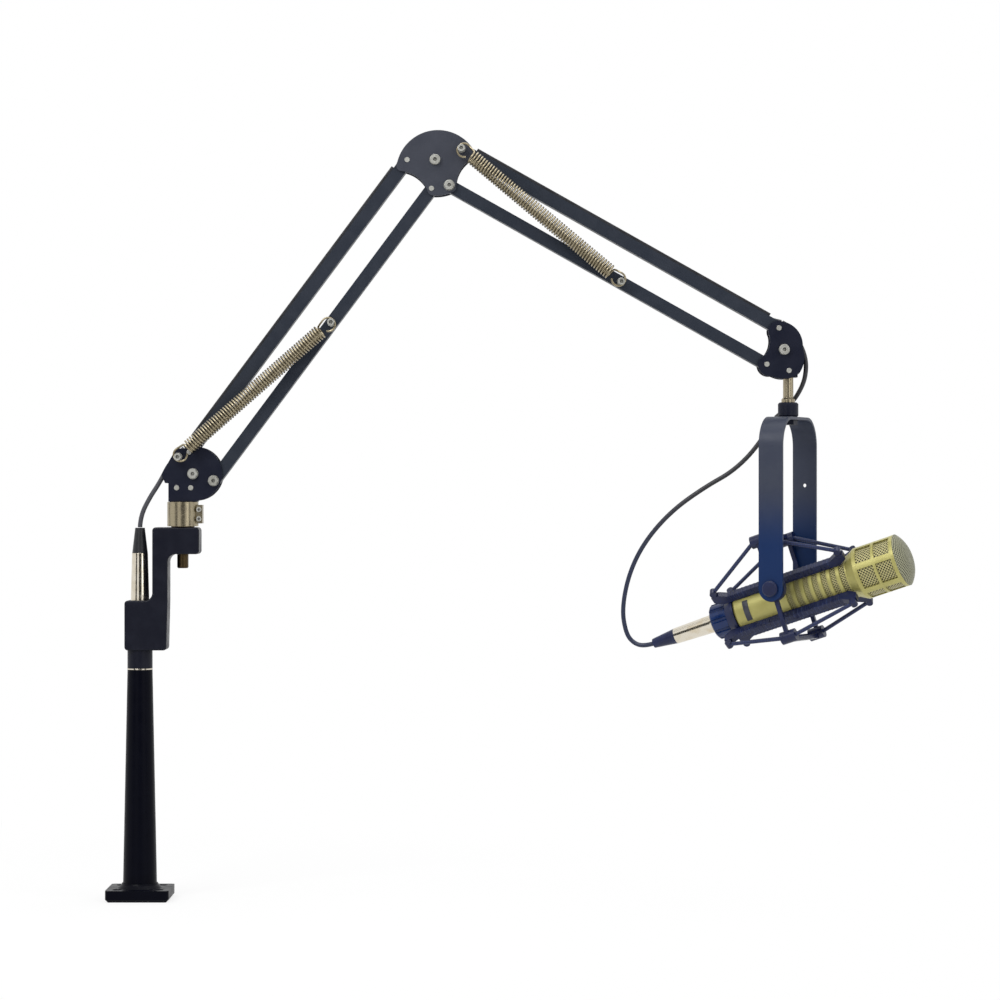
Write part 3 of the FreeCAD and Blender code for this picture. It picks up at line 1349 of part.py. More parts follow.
def curl(p, q, turns, label):
    """Tension spring between two posts: open end loops, then one coil of arcs of about a quarter turn."""
    radius, wire = SIZES["spring_radius"], SIZES["spring_wire"]
    depth = -SIZES["spring_depth"]
    start, stop = Vector(float(p[0]), depth, float(p[1])), Vector(float(q[0]), depth, float(q[1]))
    e = stop - start
    e.normalize()
    f = Vector(0, -1, 0)
    n = f.cross(e)
    hang = radius - wire / 2 - SIZES["post_radius"] - SIZES["fit_gap"]
    loop_a, loop_b = start + e * hang, stop - e * hang
    clear = radius + SIZES["spring_coil_gap"]
    coil_a, coil_b = loop_a + e * clear, loop_b - e * clear
    phase = math.radians(30)
    whole = 2 * math.pi * turns - 2 * phase
    rise = (coil_b - coil_a).Length / whole

    def helix(angle):
        spot = coil_a + e * (rise * (angle - phase)) + (n * math.cos(angle) + f * math.sin(angle)) * radius
        way = (f * math.cos(angle) - n * math.sin(angle)) * radius + e * rise
        way.normalize()
        return spot, way

    def loop(centre, forward, side, degrees):
        angle = math.radians(degrees)
        spot = centre + (forward * math.cos(angle) + side * math.sin(angle)) * radius
        way = side * math.cos(angle) - forward * math.sin(angle)
        return spot, way

    curves = []
    free, bend, entry = 325, 190, 62
    p0 = loop(loop_a, e, n, free)
    p1 = loop(loop_a, e, n, bend)
    p2 = loop(loop_a, e, n, entry)
    curves += biarc(p0[0], p0[1] * -1, p1[0], p1[1] * -1)
    curves += biarc(p1[0], p1[1] * -1, p2[0], p2[1] * -1)
    steps = turns * 2
    here = helix(phase)
    curves += biarc(p2[0], p2[1] * -1, here[0], here[1])
    for index in range(1, steps + 1):
        there = helix(phase + whole * index / steps)
        curves += biarc(here[0], here[1], there[0], there[1])
        here = there
    q2 = loop(loop_b, e * -1, n, entry)
    q1 = loop(loop_b, e * -1, n, bend)
    q0 = loop(loop_b, e * -1, n, free)
    curves += biarc(here[0], here[1], q2[0], q2[1])
    curves += biarc(q2[0], q2[1], q1[0], q1[1])
    curves += biarc(q1[0], q1[1], q0[0], q0[1])
    edges = [curve.toShape() for curve in curves]
    path = Part.Wire(edges)
    section = Part.Wire([Part.Circle(p0[0], p0[1], wire / 2).toShape()])
    solid = path.makePipeShell([section], True, False)
    tightest = min(edge.Curve.Radius for edge in edges)
    least = self_gap(edges, wire)
    print("%s: tightest arc %.2f, least gap to itself %.2f, volume share %.4f" % (
        label, tightest, least, solid.Volume / (math.pi * wire * wire / 4 * path.Length)))
    feature = DOC.addObject("Part::Feature", label + "_wire")
    feature.Shape = solid
    node(feature, label)


def self_gap(edges, wire):
    """Least clear distance between stretches of a wire that are not neighbours."""
    spots = []
    walked = 0.0
    for edge in edges:
        for share in (0.0, 0.25, 0.5, 0.75):
            parameter = edge.FirstParameter + (edge.LastParameter - edge.FirstParameter) * share
            spots.append((walked + edge.Length * share, edge.valueAt(parameter)))
        walked += edge.Length
    least = walked
    for index, (here, spot) in enumerate(spots):
        for there, other in spots[index + 1:index + 60]:
            if there - here > wire * 5:
                least = min(least, (spot - other).Length)
    return least - wire


def lead(label, points):
    """Round tube along straight runs joined by tangent arcs."""
    diameter, gap = SIZES["lead_diameter"], SIZES["lead_join_gap"]
    edges = []
    first, last = points[1] - points[0], points[-2] - points[-1]
    first.normalize()
    last.normalize()
    points = [points[0] + first * gap] + list(points[1:-1]) + [points[-1] + last * gap]
    here = points[0]
    radii = []
    for index in range(1, len(points) - 1):
        before, corner, after = points[index - 1], points[index], points[index + 1]
        back, on = before - corner, after - corner
        shorter = min(back.Length, on.Length)
        back.normalize()
        on.normalize()
        half_turn = (math.pi - back.getAngle(on)) / 2
        if half_turn < 1e-4:
            continue
        trim = shorter * 0.45
        radii.append(trim / math.tan(half_turn))
        enter, leave = corner + back * trim, corner + on * trim
        edges.append(Part.LineSegment(here, enter).toShape())
        edges.append(arc(enter, corner, leave).toShape())
        here = leave
    edges.append(Part.LineSegment(here, points[-1]).toShape())
    path = Part.Wire(edges)
    way = points[1] - points[0]
    section = Part.Wire([Part.Circle(points[0], way, diameter / 2).toShape()])
    solid = path.makePipeShell([section], True, False)
    print("%s: length %.1f, least radius %.1f, volume share %.4f" % (
        label, path.Length, min(radii), solid.Volume / (math.pi * diameter * diameter / 4 * path.Length)))
    feature = DOC.addObject("Part::Feature", label + "_tube")
    feature.Shape = solid
    node(feature, label)


def build_leads(tail_end):
    span = SIZES["lead_span"]
    boot = Vector(0, 0, float(z_boot_top))
    route = [boot + Vector(*spot) * span for spot in RISER_LEAD_SHARES]
    lead("riser_lead", route + [bar_point(D1, LOWER_TURN, 0, S.cable_lift)])
    leave = bar_point(A1, UPPER_TURN, S.arm_length, S.cable_lift)
    pivot = Vector(float(B1[0]), 0, float(B1[1]))
    hang = [pivot + Vector(*spot) * span for spot in HEAD_LEAD_SHARES]
    lead("head_lead", [leave] + hang)
    boot_end = mic_point(tail_end, 0, -S.mic_sag)
    loop = [pivot + Vector(*spot) * span for spot in MIC_LEAD_SHARES]
    close = [boot_end + Vector(*spot) * span for spot in BOOT_TURN_SHARES]
    lead("mic_lead", [hang[-1]] + loop + close + [boot_end])


build_base()
build_riser()
build_swivel()
build_shoulder()
build_arms()
build_elbow()
build_head()
build_yoke()
build_cage(build_ring())
TAIL_END = build_mic()
curl(LOWER_POST, LOWER_ANCHOR, LOWER_TURNS, "lower_spring")
curl(A1, UPPER_ANCHOR, UPPER_TURNS, "upper_spring")
build_leads(TAIL_END)
DOC.recompute()

bad = []
for item in DOC.Objects:
    if any(flag in item.State for flag in ("Invalid", "Error")):
        bad.append("%s %s" % (item.Label, item.getStatusString()))
for item in NODES:
    if item.Shape.isNull() or not item.Shape.isValid() or not item.Shape.Solids:
        bad.append("%s has no valid solid" % item.Label)
if bad:
    raise RuntimeError("; ".join(bad))

PIVOTS = {"D1": D1, "D2": D2, "C1": C1, "C2": C2, "A1": A1, "A2": A2, "B1": B1, "B2": B2}
for name, spot in PIVOTS.items():
    print("pivot %s %.4f %.4f" % (name, float(spot[0]), float(spot[1])))
print("stud %.4f nut top %.4f yoke top %.4f tilt %.4f" % (
    float(STUD_X), float(NUT_TOP), float(YOKE_TOP), float(TILT_Z)))

os.makedirs("parts", exist_ok=True)
for item in NODES:
    item.Shape.exportStep("parts/%s.step" % item.Label)
print("%d parts written" % len(NODES))
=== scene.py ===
import itertools
import json
import math

import bmesh
import bpy
from mathutils import Matrix, Vector

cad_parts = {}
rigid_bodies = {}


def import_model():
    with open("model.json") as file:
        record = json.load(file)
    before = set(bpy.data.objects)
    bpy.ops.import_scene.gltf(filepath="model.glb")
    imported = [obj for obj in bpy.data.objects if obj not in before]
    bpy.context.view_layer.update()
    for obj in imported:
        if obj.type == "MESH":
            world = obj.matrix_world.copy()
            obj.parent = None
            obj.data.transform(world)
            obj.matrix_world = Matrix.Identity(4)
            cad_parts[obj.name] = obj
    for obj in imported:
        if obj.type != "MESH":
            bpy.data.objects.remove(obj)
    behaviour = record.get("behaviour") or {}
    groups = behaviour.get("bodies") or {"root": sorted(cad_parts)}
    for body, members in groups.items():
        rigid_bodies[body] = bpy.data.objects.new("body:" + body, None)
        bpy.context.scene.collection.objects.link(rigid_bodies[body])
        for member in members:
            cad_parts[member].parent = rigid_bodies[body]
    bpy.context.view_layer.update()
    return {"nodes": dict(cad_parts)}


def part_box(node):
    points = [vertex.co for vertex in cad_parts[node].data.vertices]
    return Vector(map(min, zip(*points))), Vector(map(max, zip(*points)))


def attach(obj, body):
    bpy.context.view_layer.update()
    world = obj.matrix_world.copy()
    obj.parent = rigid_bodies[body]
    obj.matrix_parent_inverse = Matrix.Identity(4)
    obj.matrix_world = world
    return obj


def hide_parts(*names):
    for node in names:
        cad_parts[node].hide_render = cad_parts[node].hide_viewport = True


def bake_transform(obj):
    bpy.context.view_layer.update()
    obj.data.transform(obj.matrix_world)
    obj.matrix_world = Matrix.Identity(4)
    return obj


bl_info = {
    "name": "Broadcast boom arm",
    "version": (1, 0, 0),
    "blender": (4, 5, 0),
    "location": "View3D > Sidebar > Boom arm",
    "description": "Dresses the packed boom arm: springs, leads, elastic cords, finishes and studio",
    "category": "Object",
}

for stray in list(bpy.data.objects):
    bpy.data.objects.remove(stray)
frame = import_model()
NODES = frame["nodes"]

MM = 0.001

# The microphone's tilt axis and the way its cradle is turned there: 23.5 degrees to the left, nose up 18.4
TILT_CENTRE = Vector((666.01, 0.0, 320.16)) * MM
CRADLE = (Matrix.Translation(TILT_CENTRE)
          @ Matrix.Rotation(math.radians(-23.5), 4, "Z")
          @ Matrix.Rotation(math.radians(-18.4), 4, "Y"))
# Sizes of the cradle, in millimetres. The microphone hangs this far under the tilt axis
SAG = 10.5
# A cleat of the ring, as its station, step to the side and rise; its mirror images are the other seven
CLEAT = (6.5, 45.8, 51.1)
# The pegs on the rails: their station and their distance from the microphone's axis
PEG_STATION, PEG_RADIUS = 70, 39.0
# The ribbed length of a rail, one rib's size and the height of its middle over the axis
RIBBED_LENGTH = 112
RIB = (1.4, 7.3, 7.6)
RIB_BEVEL = 0.4
RIB_RISE = 27.6
# The mesh sleeve inside the microphone
SLEEVE_RADIUS = 24

# Routes of the cable, in millimetres, from the riser's plug to the microphone's plug
RISER_ROUTE = [
    (45.35, 0, 463.15), (31.0, 0, 449.5), (21.5, 0, 430.0), (9.0, 0, 411.0), (0.5, 0, 393.0),
    (0.0, 0, 381.95),
]
# Where the riser lead starts to bend, past the edge of the shoulder plates
RISER_BEND = (27.7, 0, 442.7)
ELBOW_ROUTE = [
    (269.0, 0, 763.4), (274.6, 0, 775.0), (297.8, 0, 788.1), (324.3, 0, 785.1), (333.5, 0, 776.3),
]
HEAD_ROUTE = [
    (659.7, 0, 592.4), (668.0, 0, 588.2), (675.0, 0, 577.0), (683.0, 0, 560.0), (685.0, 1, 545.0),
    (682.0, 6, 528.0), (670.5, 14.5, 508.5), (655.3, 22.3, 495.3),
]
MIC_ROUTE = [
    (654.7, 22.6, 494.6), (638.7, 27, 467.6), (613.2, 33, 440.6), (583.2, 40, 423.6),
    (548.9, 48, 398.9), (521.4, 55, 367.2), (505.0, 62, 333.6), (497.8, 68, 296.0),
    (501.8, 69.4, 271.1), (508.8, 67.6, 260.8), (520.0, 63.5, 256.6), (530.7, 58.9, 260.0),
]
# Stations of the hidden runs along an arm bar, and their rise off its centre line
RUN_STATIONS = [
    (0.45, 7.2), (16.0, 2.4), (32.0, 2.4), (186.75, 2.4), (341.5, 2.4), (357.5, 2.4), (373.05, 7.2),
]
# The far end of a run bends past this share of its last stretch, clear of the cable cover
RUN_BEND = 0.35
# Each arm's name, the bodies before and after it, its outer pivot in millimetres and its slope in degrees
ARM_RUNS = (
    ("lower", "swivel", "elbow", (51.5, 459.1), 53.3),
    ("upper", "elbow", "head", (330.31, 769.56), -29.4),
)

# The springs' posts, and the straight neck between a hook and its coil
POST_RADIUS = 2.2 * MM
HOOK_NECK = 3.0 * MM
# How finely a tube follows its line, and how finely it is rounded
LEAD_STEPS = (8, 4)
SPRING_STEPS = (2, 2)
STRAND_STEPS = (6, 3)

# The photograph shows this width at the arm's middle plane, about this middle
PICTURE_WIDTH = 1.0276
PICTURE_X, PICTURE_Z = 0.3699, 0.41
SENSOR_WIDTH = 36.0
# What the cards and lights of the studio stand around
STUDIO_X = 0.37
FLOOR_WIDTH = 16.0


def linear(code):
    """Scene-linear colour of an sRGB hex value."""
    parts = [int(code[i:i + 2], 16) / 255 for i in (1, 3, 5)]
    return tuple(p / 12.92 if p <= 0.04045 else ((p + 0.055) / 1.055) ** 2.4 for p in parts)


def opaque(rgb):
    return (*rgb, 1.0)


def colour(code):
    return opaque(linear(code))


class BoomArmSizes(bpy.types.PropertyGroup):
    """Sizes of the wound and soft pieces and of the studio."""

    spring_turns: bpy.props.IntProperty(
        name="Spring turns", description="Turns of wire in each balance spring", default=60, min=8)
    spring_radius: bpy.props.FloatProperty(
        name="Spring radius", description="From a spring's axis to the middle of its wire",
        default=7.0 * MM, unit="LENGTH", precision=5)
    spring_wire: bpy.props.FloatProperty(
        name="Spring wire", description="Diameter of the spring wire",
        default=2.1 * MM, unit="LENGTH", precision=5)
    lead: bpy.props.FloatProperty(
        name="Lead", description="Diameter of the microphone lead",
        default=4.8 * MM, unit="LENGTH", precision=5)
    elastic: bpy.props.FloatProperty(
        name="Elastic", description="Diameter of the elastic suspension cord",
        default=4.2 * MM, unit="LENGTH", precision=5)
    rib_pitch: bpy.props.FloatProperty(
        name="Rib pitch", description="Distance between the ribs along a cradle rail",
        default=4.6 * MM, unit="LENGTH", precision=5)
    camera_distance: bpy.props.FloatProperty(
        name="Camera distance", description="From the camera to the middle plane of the arm",
        default=3.3, unit="LENGTH")


class BoomArmColours(bpy.types.PropertyGroup):
    """Colours of the main finishes."""

    # Painted light: the elbow plates' slate is the one powder coat made lighter where the top light falls
    powder: bpy.props.FloatVectorProperty(
        name="Powder coat", description="Powder coat painted lighter by the top light, on the elbow plates",
        subtype="COLOR", size=3, min=0, max=1, default=linear("#363943"))
    riser: bpy.props.FloatVectorProperty(
        name="Riser paint", description="Black of the riser and its bracket",
        subtype="COLOR", size=3, min=0, max=1, default=linear("#03040E"))
    navy: bpy.props.FloatVectorProperty(
        name="Navy nylon", description="Blue black of the cradle",
        subtype="COLOR", size=3, min=0, max=1, default=linear("#081338"))
    nickel: bpy.props.FloatVectorProperty(
        name="Nickel", description="Warm nickel of the springs, collar and stud",
        subtype="COLOR", size=3, min=0, max=1, default=linear("#A0967E"))
    khaki: bpy.props.FloatVectorProperty(
        name="Khaki lacquer", description="Gold lacquer of the microphone",
        subtype="COLOR", size=3, min=0, max=1, default=linear("#ABA562"))


def sizes():
    return bpy.context.scene.boom_arm_sizes


def colours():
    return bpy.context.scene.boom_arm_colours


# Materials

def add(tree, kind, inputs=None, **settings):
    """Adds a node, sets its options, then fills or links its inputs."""
    node = tree.nodes.new(kind)
    for name, value in settings.items():
        setattr(node, name, value)
    for name, value in (inputs or {}).items():
        if isinstance(value, bpy.types.NodeSocket):
            tree.links.new(value, node.inputs[name])
        else:
            node.inputs[name].default_value = value
    return node


def new_finish(name):
    """An empty material, its node tree and the coordinates of its piece."""
    material = bpy.data.materials.new(name)
    material.use_nodes = True
    tree = material.node_tree
    tree.nodes.clear()
    return material, tree, add(tree, "ShaderNodeTexCoord").outputs["Object"]


def finished(material, inputs):
    """Closes a material with the shader that its plain numbers and links go to."""
    tree = material.node_tree
    shader = add(tree, "ShaderNodeBsdfPrincipled", inputs)
    add(tree, "ShaderNodeOutputMaterial", {"Surface": shader.outputs["BSDF"]})
    return material


def powder_coated_steel(name, tint, dust, roughness, peel_mm, level=0.28, navy=None):
    """Sprayed and baked polyester powder: satin, with a fine orange peel and faint dusty blotches.
    Its matting agent takes the edge off the gloss, by the specular level."""
    material, tree, place = new_finish(name)
    peel = add(tree, "ShaderNodeTexNoise", {"Vector": place, "Scale": 1 / (peel_mm * MM), "Detail": 2.0})
    # Blotches about 14 mm wide where hands and dusters have been
    blotch = add(tree, "ShaderNodeTexNoise", {"Vector": place, "Scale": 1 / (14 * MM), "Detail": 4.0})
    rough = add(tree, "ShaderNodeMapRange", {
        "Value": blotch.outputs["Fac"], "From Min": 0.3, "From Max": 0.7,
        "To Min": roughness - 0.06, "To Max": roughness + 0.08})
    share = add(tree, "ShaderNodeMapRange", {
        "Value": blotch.outputs["Fac"], "From Min": 0.45, "From Max": 0.8, "To Min": 0.0, "To Max": 0.35})
    base = add(tree, "ShaderNodeMix", {
        "Factor": share.outputs["Result"], "A": tint, "B": dust}, data_type="RGBA").outputs["Result"]
    if navy:
        # The lower end of the piece takes a blue cast over about 70 mm
        height = add(tree, "ShaderNodeSeparateXYZ", {"Vector": place}).outputs["Z"]
        low = add(tree, "ShaderNodeMapRange", {
            "Value": height, "From Min": 0.43, "From Max": 0.36}, interpolation_type="SMOOTHSTEP")
        base = add(tree, "ShaderNodeMix", {
            "Factor": low.outputs["Result"], "A": base, "B": navy}, data_type="RGBA").outputs["Result"]
    edge = add(tree, "ShaderNodeBevel", {"Radius": 0.5 * MM}, samples=4)
    bump = add(tree, "ShaderNodeBump", {
        "Height": peel.outputs["Fac"], "Distance": 0.04 * MM, "Strength": 0.5,
        "Normal": edge.outputs["Normal"]})
    return finished(material, {
        "IOR": 1.5, "Specular IOR Level": level, "Base Color": base,
        "Roughness": rough.outputs["Result"], "Normal": bump.outputs["Normal"]})


def plated_metal(name, tint, stain, roughness, streak_mm, along):
    """Plated and polished metal: bright, with fine tool lines one way, a little tarnish and painted shade
    in its hollows.
    """
    material, tree, place = new_finish(name)
    # Tool lines run along one axis: the noise is stretched ten times that way
    stretch = [1.0, 1.0, 1.0]
    stretch["XYZ".index(along)] = 0.1
    turned = add(tree, "ShaderNodeMapping", {"Vector": place, "Scale": stretch})
    lines = add(tree, "ShaderNodeTexNoise", {
        "Vector": turned.outputs["Vector"], "Scale": 1 / (streak_mm * MM), "Detail": 3.0})
    cloud = add(tree, "ShaderNodeTexNoise", {"Vector": place, "Scale": 1 / (9 * MM), "Detail": 3.0})
    share = add(tree, "ShaderNodeMapRange", {
        "Value": cloud.outputs["Fac"], "From Min": 0.45, "From Max": 0.75, "To Min": 0.0, "To Max": 0.6})
    plate = add(tree, "ShaderNodeMix", {
        "Factor": share.outputs["Result"], "A": tint, "B": stain}, data_type="RGBA")
    # Painted shade: the colour darkens to near black in sockets and between spring turns, within about 2.5
    # mm of a facing wall
    painted_shade_occlusion = add(tree, "ShaderNodeAmbientOcclusion", {"Distance": 2.5 * MM}, samples=8, only_local=True)
    unshaded_share = add(tree, "ShaderNodeMapRange", {
        "Value": painted_shade_occlusion.outputs["AO"], "From Min": 0.3, "From Max": 0.8, "To Min": 0.0, "To Max": 1.0})
    base = add(tree, "ShaderNodeMix", {
        "Factor": unshaded_share.outputs["Result"], "A": colour("#17130E"), "B": plate.outputs["Result"]},
        data_type="RGBA")
    rough = add(tree, "ShaderNodeMapRange", {
        "Value": lines.outputs["Fac"], "From Min": 0.3, "From Max": 0.7,
        "To Min": max(roughness - 0.06, 0.03), "To Max": roughness + 0.08})
    edge = add(tree, "ShaderNodeBevel", {"Radius": 0.3 * MM}, samples=4)
    bump = add(tree, "ShaderNodeBump", {
        "Height": lines.outputs["Fac"], "Distance": 0.01 * MM, "Strength": 0.35,
        "Normal": edge.outputs["Normal"]})
    return finished(material, {
        "Metallic": 1.0, "Base Color": base.outputs["Result"],
        "Roughness": rough.outputs["Result"], "Normal": bump.outputs["Normal"]})


def moulded_nylon(name, tint, pale, roughness, spark_mm):
    """Glass filled nylon from a spark eroded mould: even sheen over a fine pebbled skin."""
    material, tree, place = new_finish(name)
    pebble = add(tree, "ShaderNodeTexVoronoi", {"Vector": place, "Scale": 1 / (spark_mm * MM)})
    flow = add(tree, "ShaderNodeTexNoise", {"Vector": place, "Scale": 1 / (11 * MM), "Detail": 3.0})
    share = add(tree, "ShaderNodeMapRange", {
        "Value": flow.outputs["Fac"], "From Min": 0.4, "From Max": 0.75, "To Min": 0.0, "To Max": 0.5})
    base = add(tree, "ShaderNodeMix", {
        "Factor": share.outputs["Result"], "A": tint, "B": pale}, data_type="RGBA")
    rough = add(tree, "ShaderNodeMapRange", {
        "Value": flow.outputs["Fac"], "From Min": 0.3, "From Max": 0.7,
        "To Min": max(roughness - 0.07, 0.05), "To Max": roughness + 0.07})
    edge = add(tree, "ShaderNodeBevel", {"Radius": 0.6 * MM}, samples=4)
    bump = add(tree, "ShaderNodeBump", {
        "Height": pebble.outputs["Distance"], "Distance": 0.03 * MM, "Strength": 0.4,
        "Normal": edge.outputs["Normal"]})
    return finished(material, {
        "IOR": 1.53, "Specular IOR Level": 0.35, "Base Color": base.outputs["Result"],
        "Roughness": rough.outputs["Result"], "Normal": bump.outputs["Normal"]})


def cable_jacket(name, tint, navy):
    """Extruded rubber jacket over a twisted pair: dull, with a faint lay of the cores showing through."""
    material, tree, place = new_finish(name)
    # The lay of the cores repeats about every 9 mm
    lay = add(tree, "ShaderNodeTexWave", {
        "Vector": place, "Scale": 1 / (9 * MM) / 6.28, "Distortion": 1.5, "Detail": 1.0},
        wave_type="BANDS", bands_direction="DIAGONAL")
    scuff = add(tree, "ShaderNodeTexNoise", {"Vector": place, "Scale": 1 / (3 * MM), "Detail": 3.0})
    rough = add(tree, "ShaderNodeMapRange", {
        "Value": scuff.outputs["Fac"], "From Min": 0.3, "From Max": 0.7, "To Min": 0.32, "To Max": 0.5})
    # The lower length takes a blue cast over about 100 mm
    height = add(tree, "ShaderNodeSeparateXYZ", {"Vector": place}).outputs["Z"]
    low = add(tree, "ShaderNodeMapRange", {
        "Value": height, "From Min": 0.43, "From Max": 0.33}, interpolation_type="SMOOTHSTEP")
    base = add(tree, "ShaderNodeMix", {
        "Factor": low.outputs["Result"], "A": tint, "B": navy}, data_type="RGBA")
    bump = add(tree, "ShaderNodeBump", {
        "Height": lay.outputs["Fac"], "Distance": 0.12 * MM, "Strength": 0.5})
    return finished(material, {
        "IOR": 1.5, "Base Color": base.outputs["Result"],
        "Roughness": rough.outputs["Result"], "Normal": bump.outputs["Normal"]})


def woven_elastic(name, tint, pale):
    """Rubber core in a braided polyester sleeve: two sets of threads crossing, about 0.9 mm apart."""
    material, tree, place = new_finish(name)
    threads = []
    for way in ("X", "Z"):
        threads.append(add(tree, "ShaderNodeTexWave", {
            "Vector": place, "Scale": 1 / (0.9 * MM) / 6.28, "Distortion": 0.6},
            wave_type="BANDS", bands_direction=way).outputs["Fac"])
    braid = add(tree, "ShaderNodeMath", {0: threads[0], 1: threads[1]}, operation="MULTIPLY")
    base = add(tree, "ShaderNodeMix", {
        "Factor": braid.outputs["Value"], "A": tint, "B": pale}, data_type="RGBA")
    bump = add(tree, "ShaderNodeBump", {
        "Height": braid.outputs["Value"], "Distance": 0.2 * MM, "Strength": 0.6})
    return finished(material, {
        "IOR": 1.45, "Roughness": 0.62, "Sheen Weight": 0.3, "Sheen Roughness": 0.4,
        "Base Color": base.outputs["Result"], "Normal": bump.outputs["Normal"]})


def lacquered_aluminium(name, tint, deep):
    """Turned aluminium under tinted lacquer: a soft metal glow with a thin clear gloss over it."""
    material, tree, place = new_finish(name)
    flake = add(tree, "ShaderNodeTexNoise", {"Vector": place, "Scale": 1 / (0.5 * MM), "Detail": 2.0})
    wash = add(tree, "ShaderNodeTexNoise", {"Vector": place, "Scale": 1 / (18 * MM), "Detail": 3.0})
    share = add(tree, "ShaderNodeMapRange", {
        "Value": wash.outputs["Fac"], "From Min": 0.4, "From Max": 0.75, "To Min": 0.0, "To Max": 0.45})
    base = add(tree, "ShaderNodeMix", {
        "Factor": share.outputs["Result"], "A": tint, "B": deep}, data_type="RGBA")
    rough = add(tree, "ShaderNodeMapRange", {
        "Value": flake.outputs["Fac"], "From Min": 0.3, "From Max": 0.7, "To Min": 0.32, "To Max": 0.44})
    edge = add(tree, "ShaderNodeBevel", {"Radius": 0.5 * MM}, samples=4)
    bump = add(tree, "ShaderNodeBump", {
        "Height": flake.outputs["Fac"], "Distance": 0.02 * MM, "Strength": 0.4,
        "Normal": edge.outputs["Normal"]})
    return finished(material, {
        "Metallic": 0.4, "Coat Weight": 0.15, "Coat Roughness": 0.25, "Base Color": base.outputs["Result"],
        "Roughness": rough.outputs["Result"], "Normal": bump.outputs["Normal"]})


def woven_wire(name, wire, hole, pitch_mm, metallic, round_axis):
    """Woven wire screen: two sets of wires over dark holes. Real wires are finer: they are drawn as
    coarse as they need to be to show."""
    material, tree, place = new_finish(name)
    back = CRADLE.inverted()
    local = add(tree, "ShaderNodeMapping", {
        "Vector": place, "Location": back.to_translation() + Vector((0, 0, SAG * MM)),
        "Rotation": back.to_euler()}, vector_type="POINT")
    axes = add(tree, "ShaderNodeSeparateXYZ", {"Vector": local.outputs["Vector"]}).outputs
    wave = 2 * math.pi / (pitch_mm * MM)
    ways = [(axes["Z"], wave), (axes["Y"], wave)]
    if round_axis:
        # Round the sleeve the weave closes on itself: a whole number of wires
        angle = add(tree, "ShaderNodeMath", {0: axes["Z"], 1: axes["Y"]}, operation="ARCTAN2")
        wires_round = float(round(2 * math.pi * SLEEVE_RADIUS / pitch_mm))
        ways = [(axes["X"], wave), (angle.outputs["Value"], wires_round)]
    along, across = (
        add(tree, "ShaderNodeMath", {0: way, 1: rate}, operation="MULTIPLY").outputs["Value"]
        for way, rate in ways)
    wires = []
    for mixing in ("ADD", "SUBTRACT"):
        slope = add(tree, "ShaderNodeMath", {0: along, 1: across}, operation=mixing).outputs["Value"]
        wires.append(add(tree, "ShaderNodeMath", {0: slope}, operation="SINE").outputs["Value"])
    top = add(tree, "ShaderNodeMath", {0: wires[0], 1: wires[1]}, operation="MAXIMUM").outputs["Value"]
    share = add(tree, "ShaderNodeMapRange", {"Value": top, "From Min": 0.1, "From Max": 0.75})
    base = add(tree, "ShaderNodeMix", {
        "Factor": share.outputs["Result"], "A": hole, "B": wire}, data_type="RGBA")
    bump = add(tree, "ShaderNodeBump", {"Height": top, "Distance": 0.3 * MM, "Strength": 0.7})
    return finished(material, {
        "Metallic": metallic, "Roughness": 0.45,
        "Base Color": base.outputs["Result"], "Normal": bump.outputs["Normal"]})


def seen_directly(tree):
    """1 for rays from the camera, a reflection or glass, else 0."""
    rays = add(tree, "ShaderNodeLightPath").outputs
    seen = rays["Is Camera Ray"]
    for kind in ("Is Glossy Ray", "Is Transmission Ray"):
        seen = add(tree, "ShaderNodeMath", {0: seen, 1: rays[kind]}, operation="MAXIMUM").outputs["Value"]
    return seen


def white_paper():
    """Matt paper. Away from the base it glows through, so that no horizon shows; near it the
    shadow stays."""
    material, tree, place = new_finish("White paper floor")
    reach = add(tree, "ShaderNodeVectorMath", {0: place}, operation="LENGTH").outputs["Value"]
    white = add(tree, "ShaderNodeMapRange", {
        "Value": reach, "From Min": 0.1, "From Max": 0.8, "To Min": 0.8, "To Max": 1.0},
        interpolation_type="SMOOTHSTEP").outputs["Result"]
    share = add(tree, "ShaderNodeMath", {
        0: seen_directly(tree), 1: white}, operation="MULTIPLY").outputs["Value"]
    matt = add(tree, "ShaderNodeBsdfDiffuse", {"Color": colour("#F4F4F4")}).outputs["BSDF"]
    glow = add(tree, "ShaderNodeEmission", {"Color": (1, 1, 1, 1), "Strength": 1.0}).outputs["Emission"]
    both = add(tree, "ShaderNodeMixShader", {0: share, 1: matt, 2: glow}).outputs["Shader"]
    add(tree, "ShaderNodeOutputMaterial", {"Surface": both})
    return material


# Pieces

def cradle_point(along, side, rise):
    """A point of the cradle: station along the microphone, step to its side and rise, in millimetres."""
    return CRADLE @ (Vector((along, side, rise)) * MM)


def shown(name, mesh, material):
    """Puts a mesh in the scene as a piece with its finish."""
    piece = bpy.data.objects.new(name, mesh)
    bpy.context.scene.collection.objects.link(piece)
    mesh.materials.clear()
    mesh.materials.append(material)
    return piece


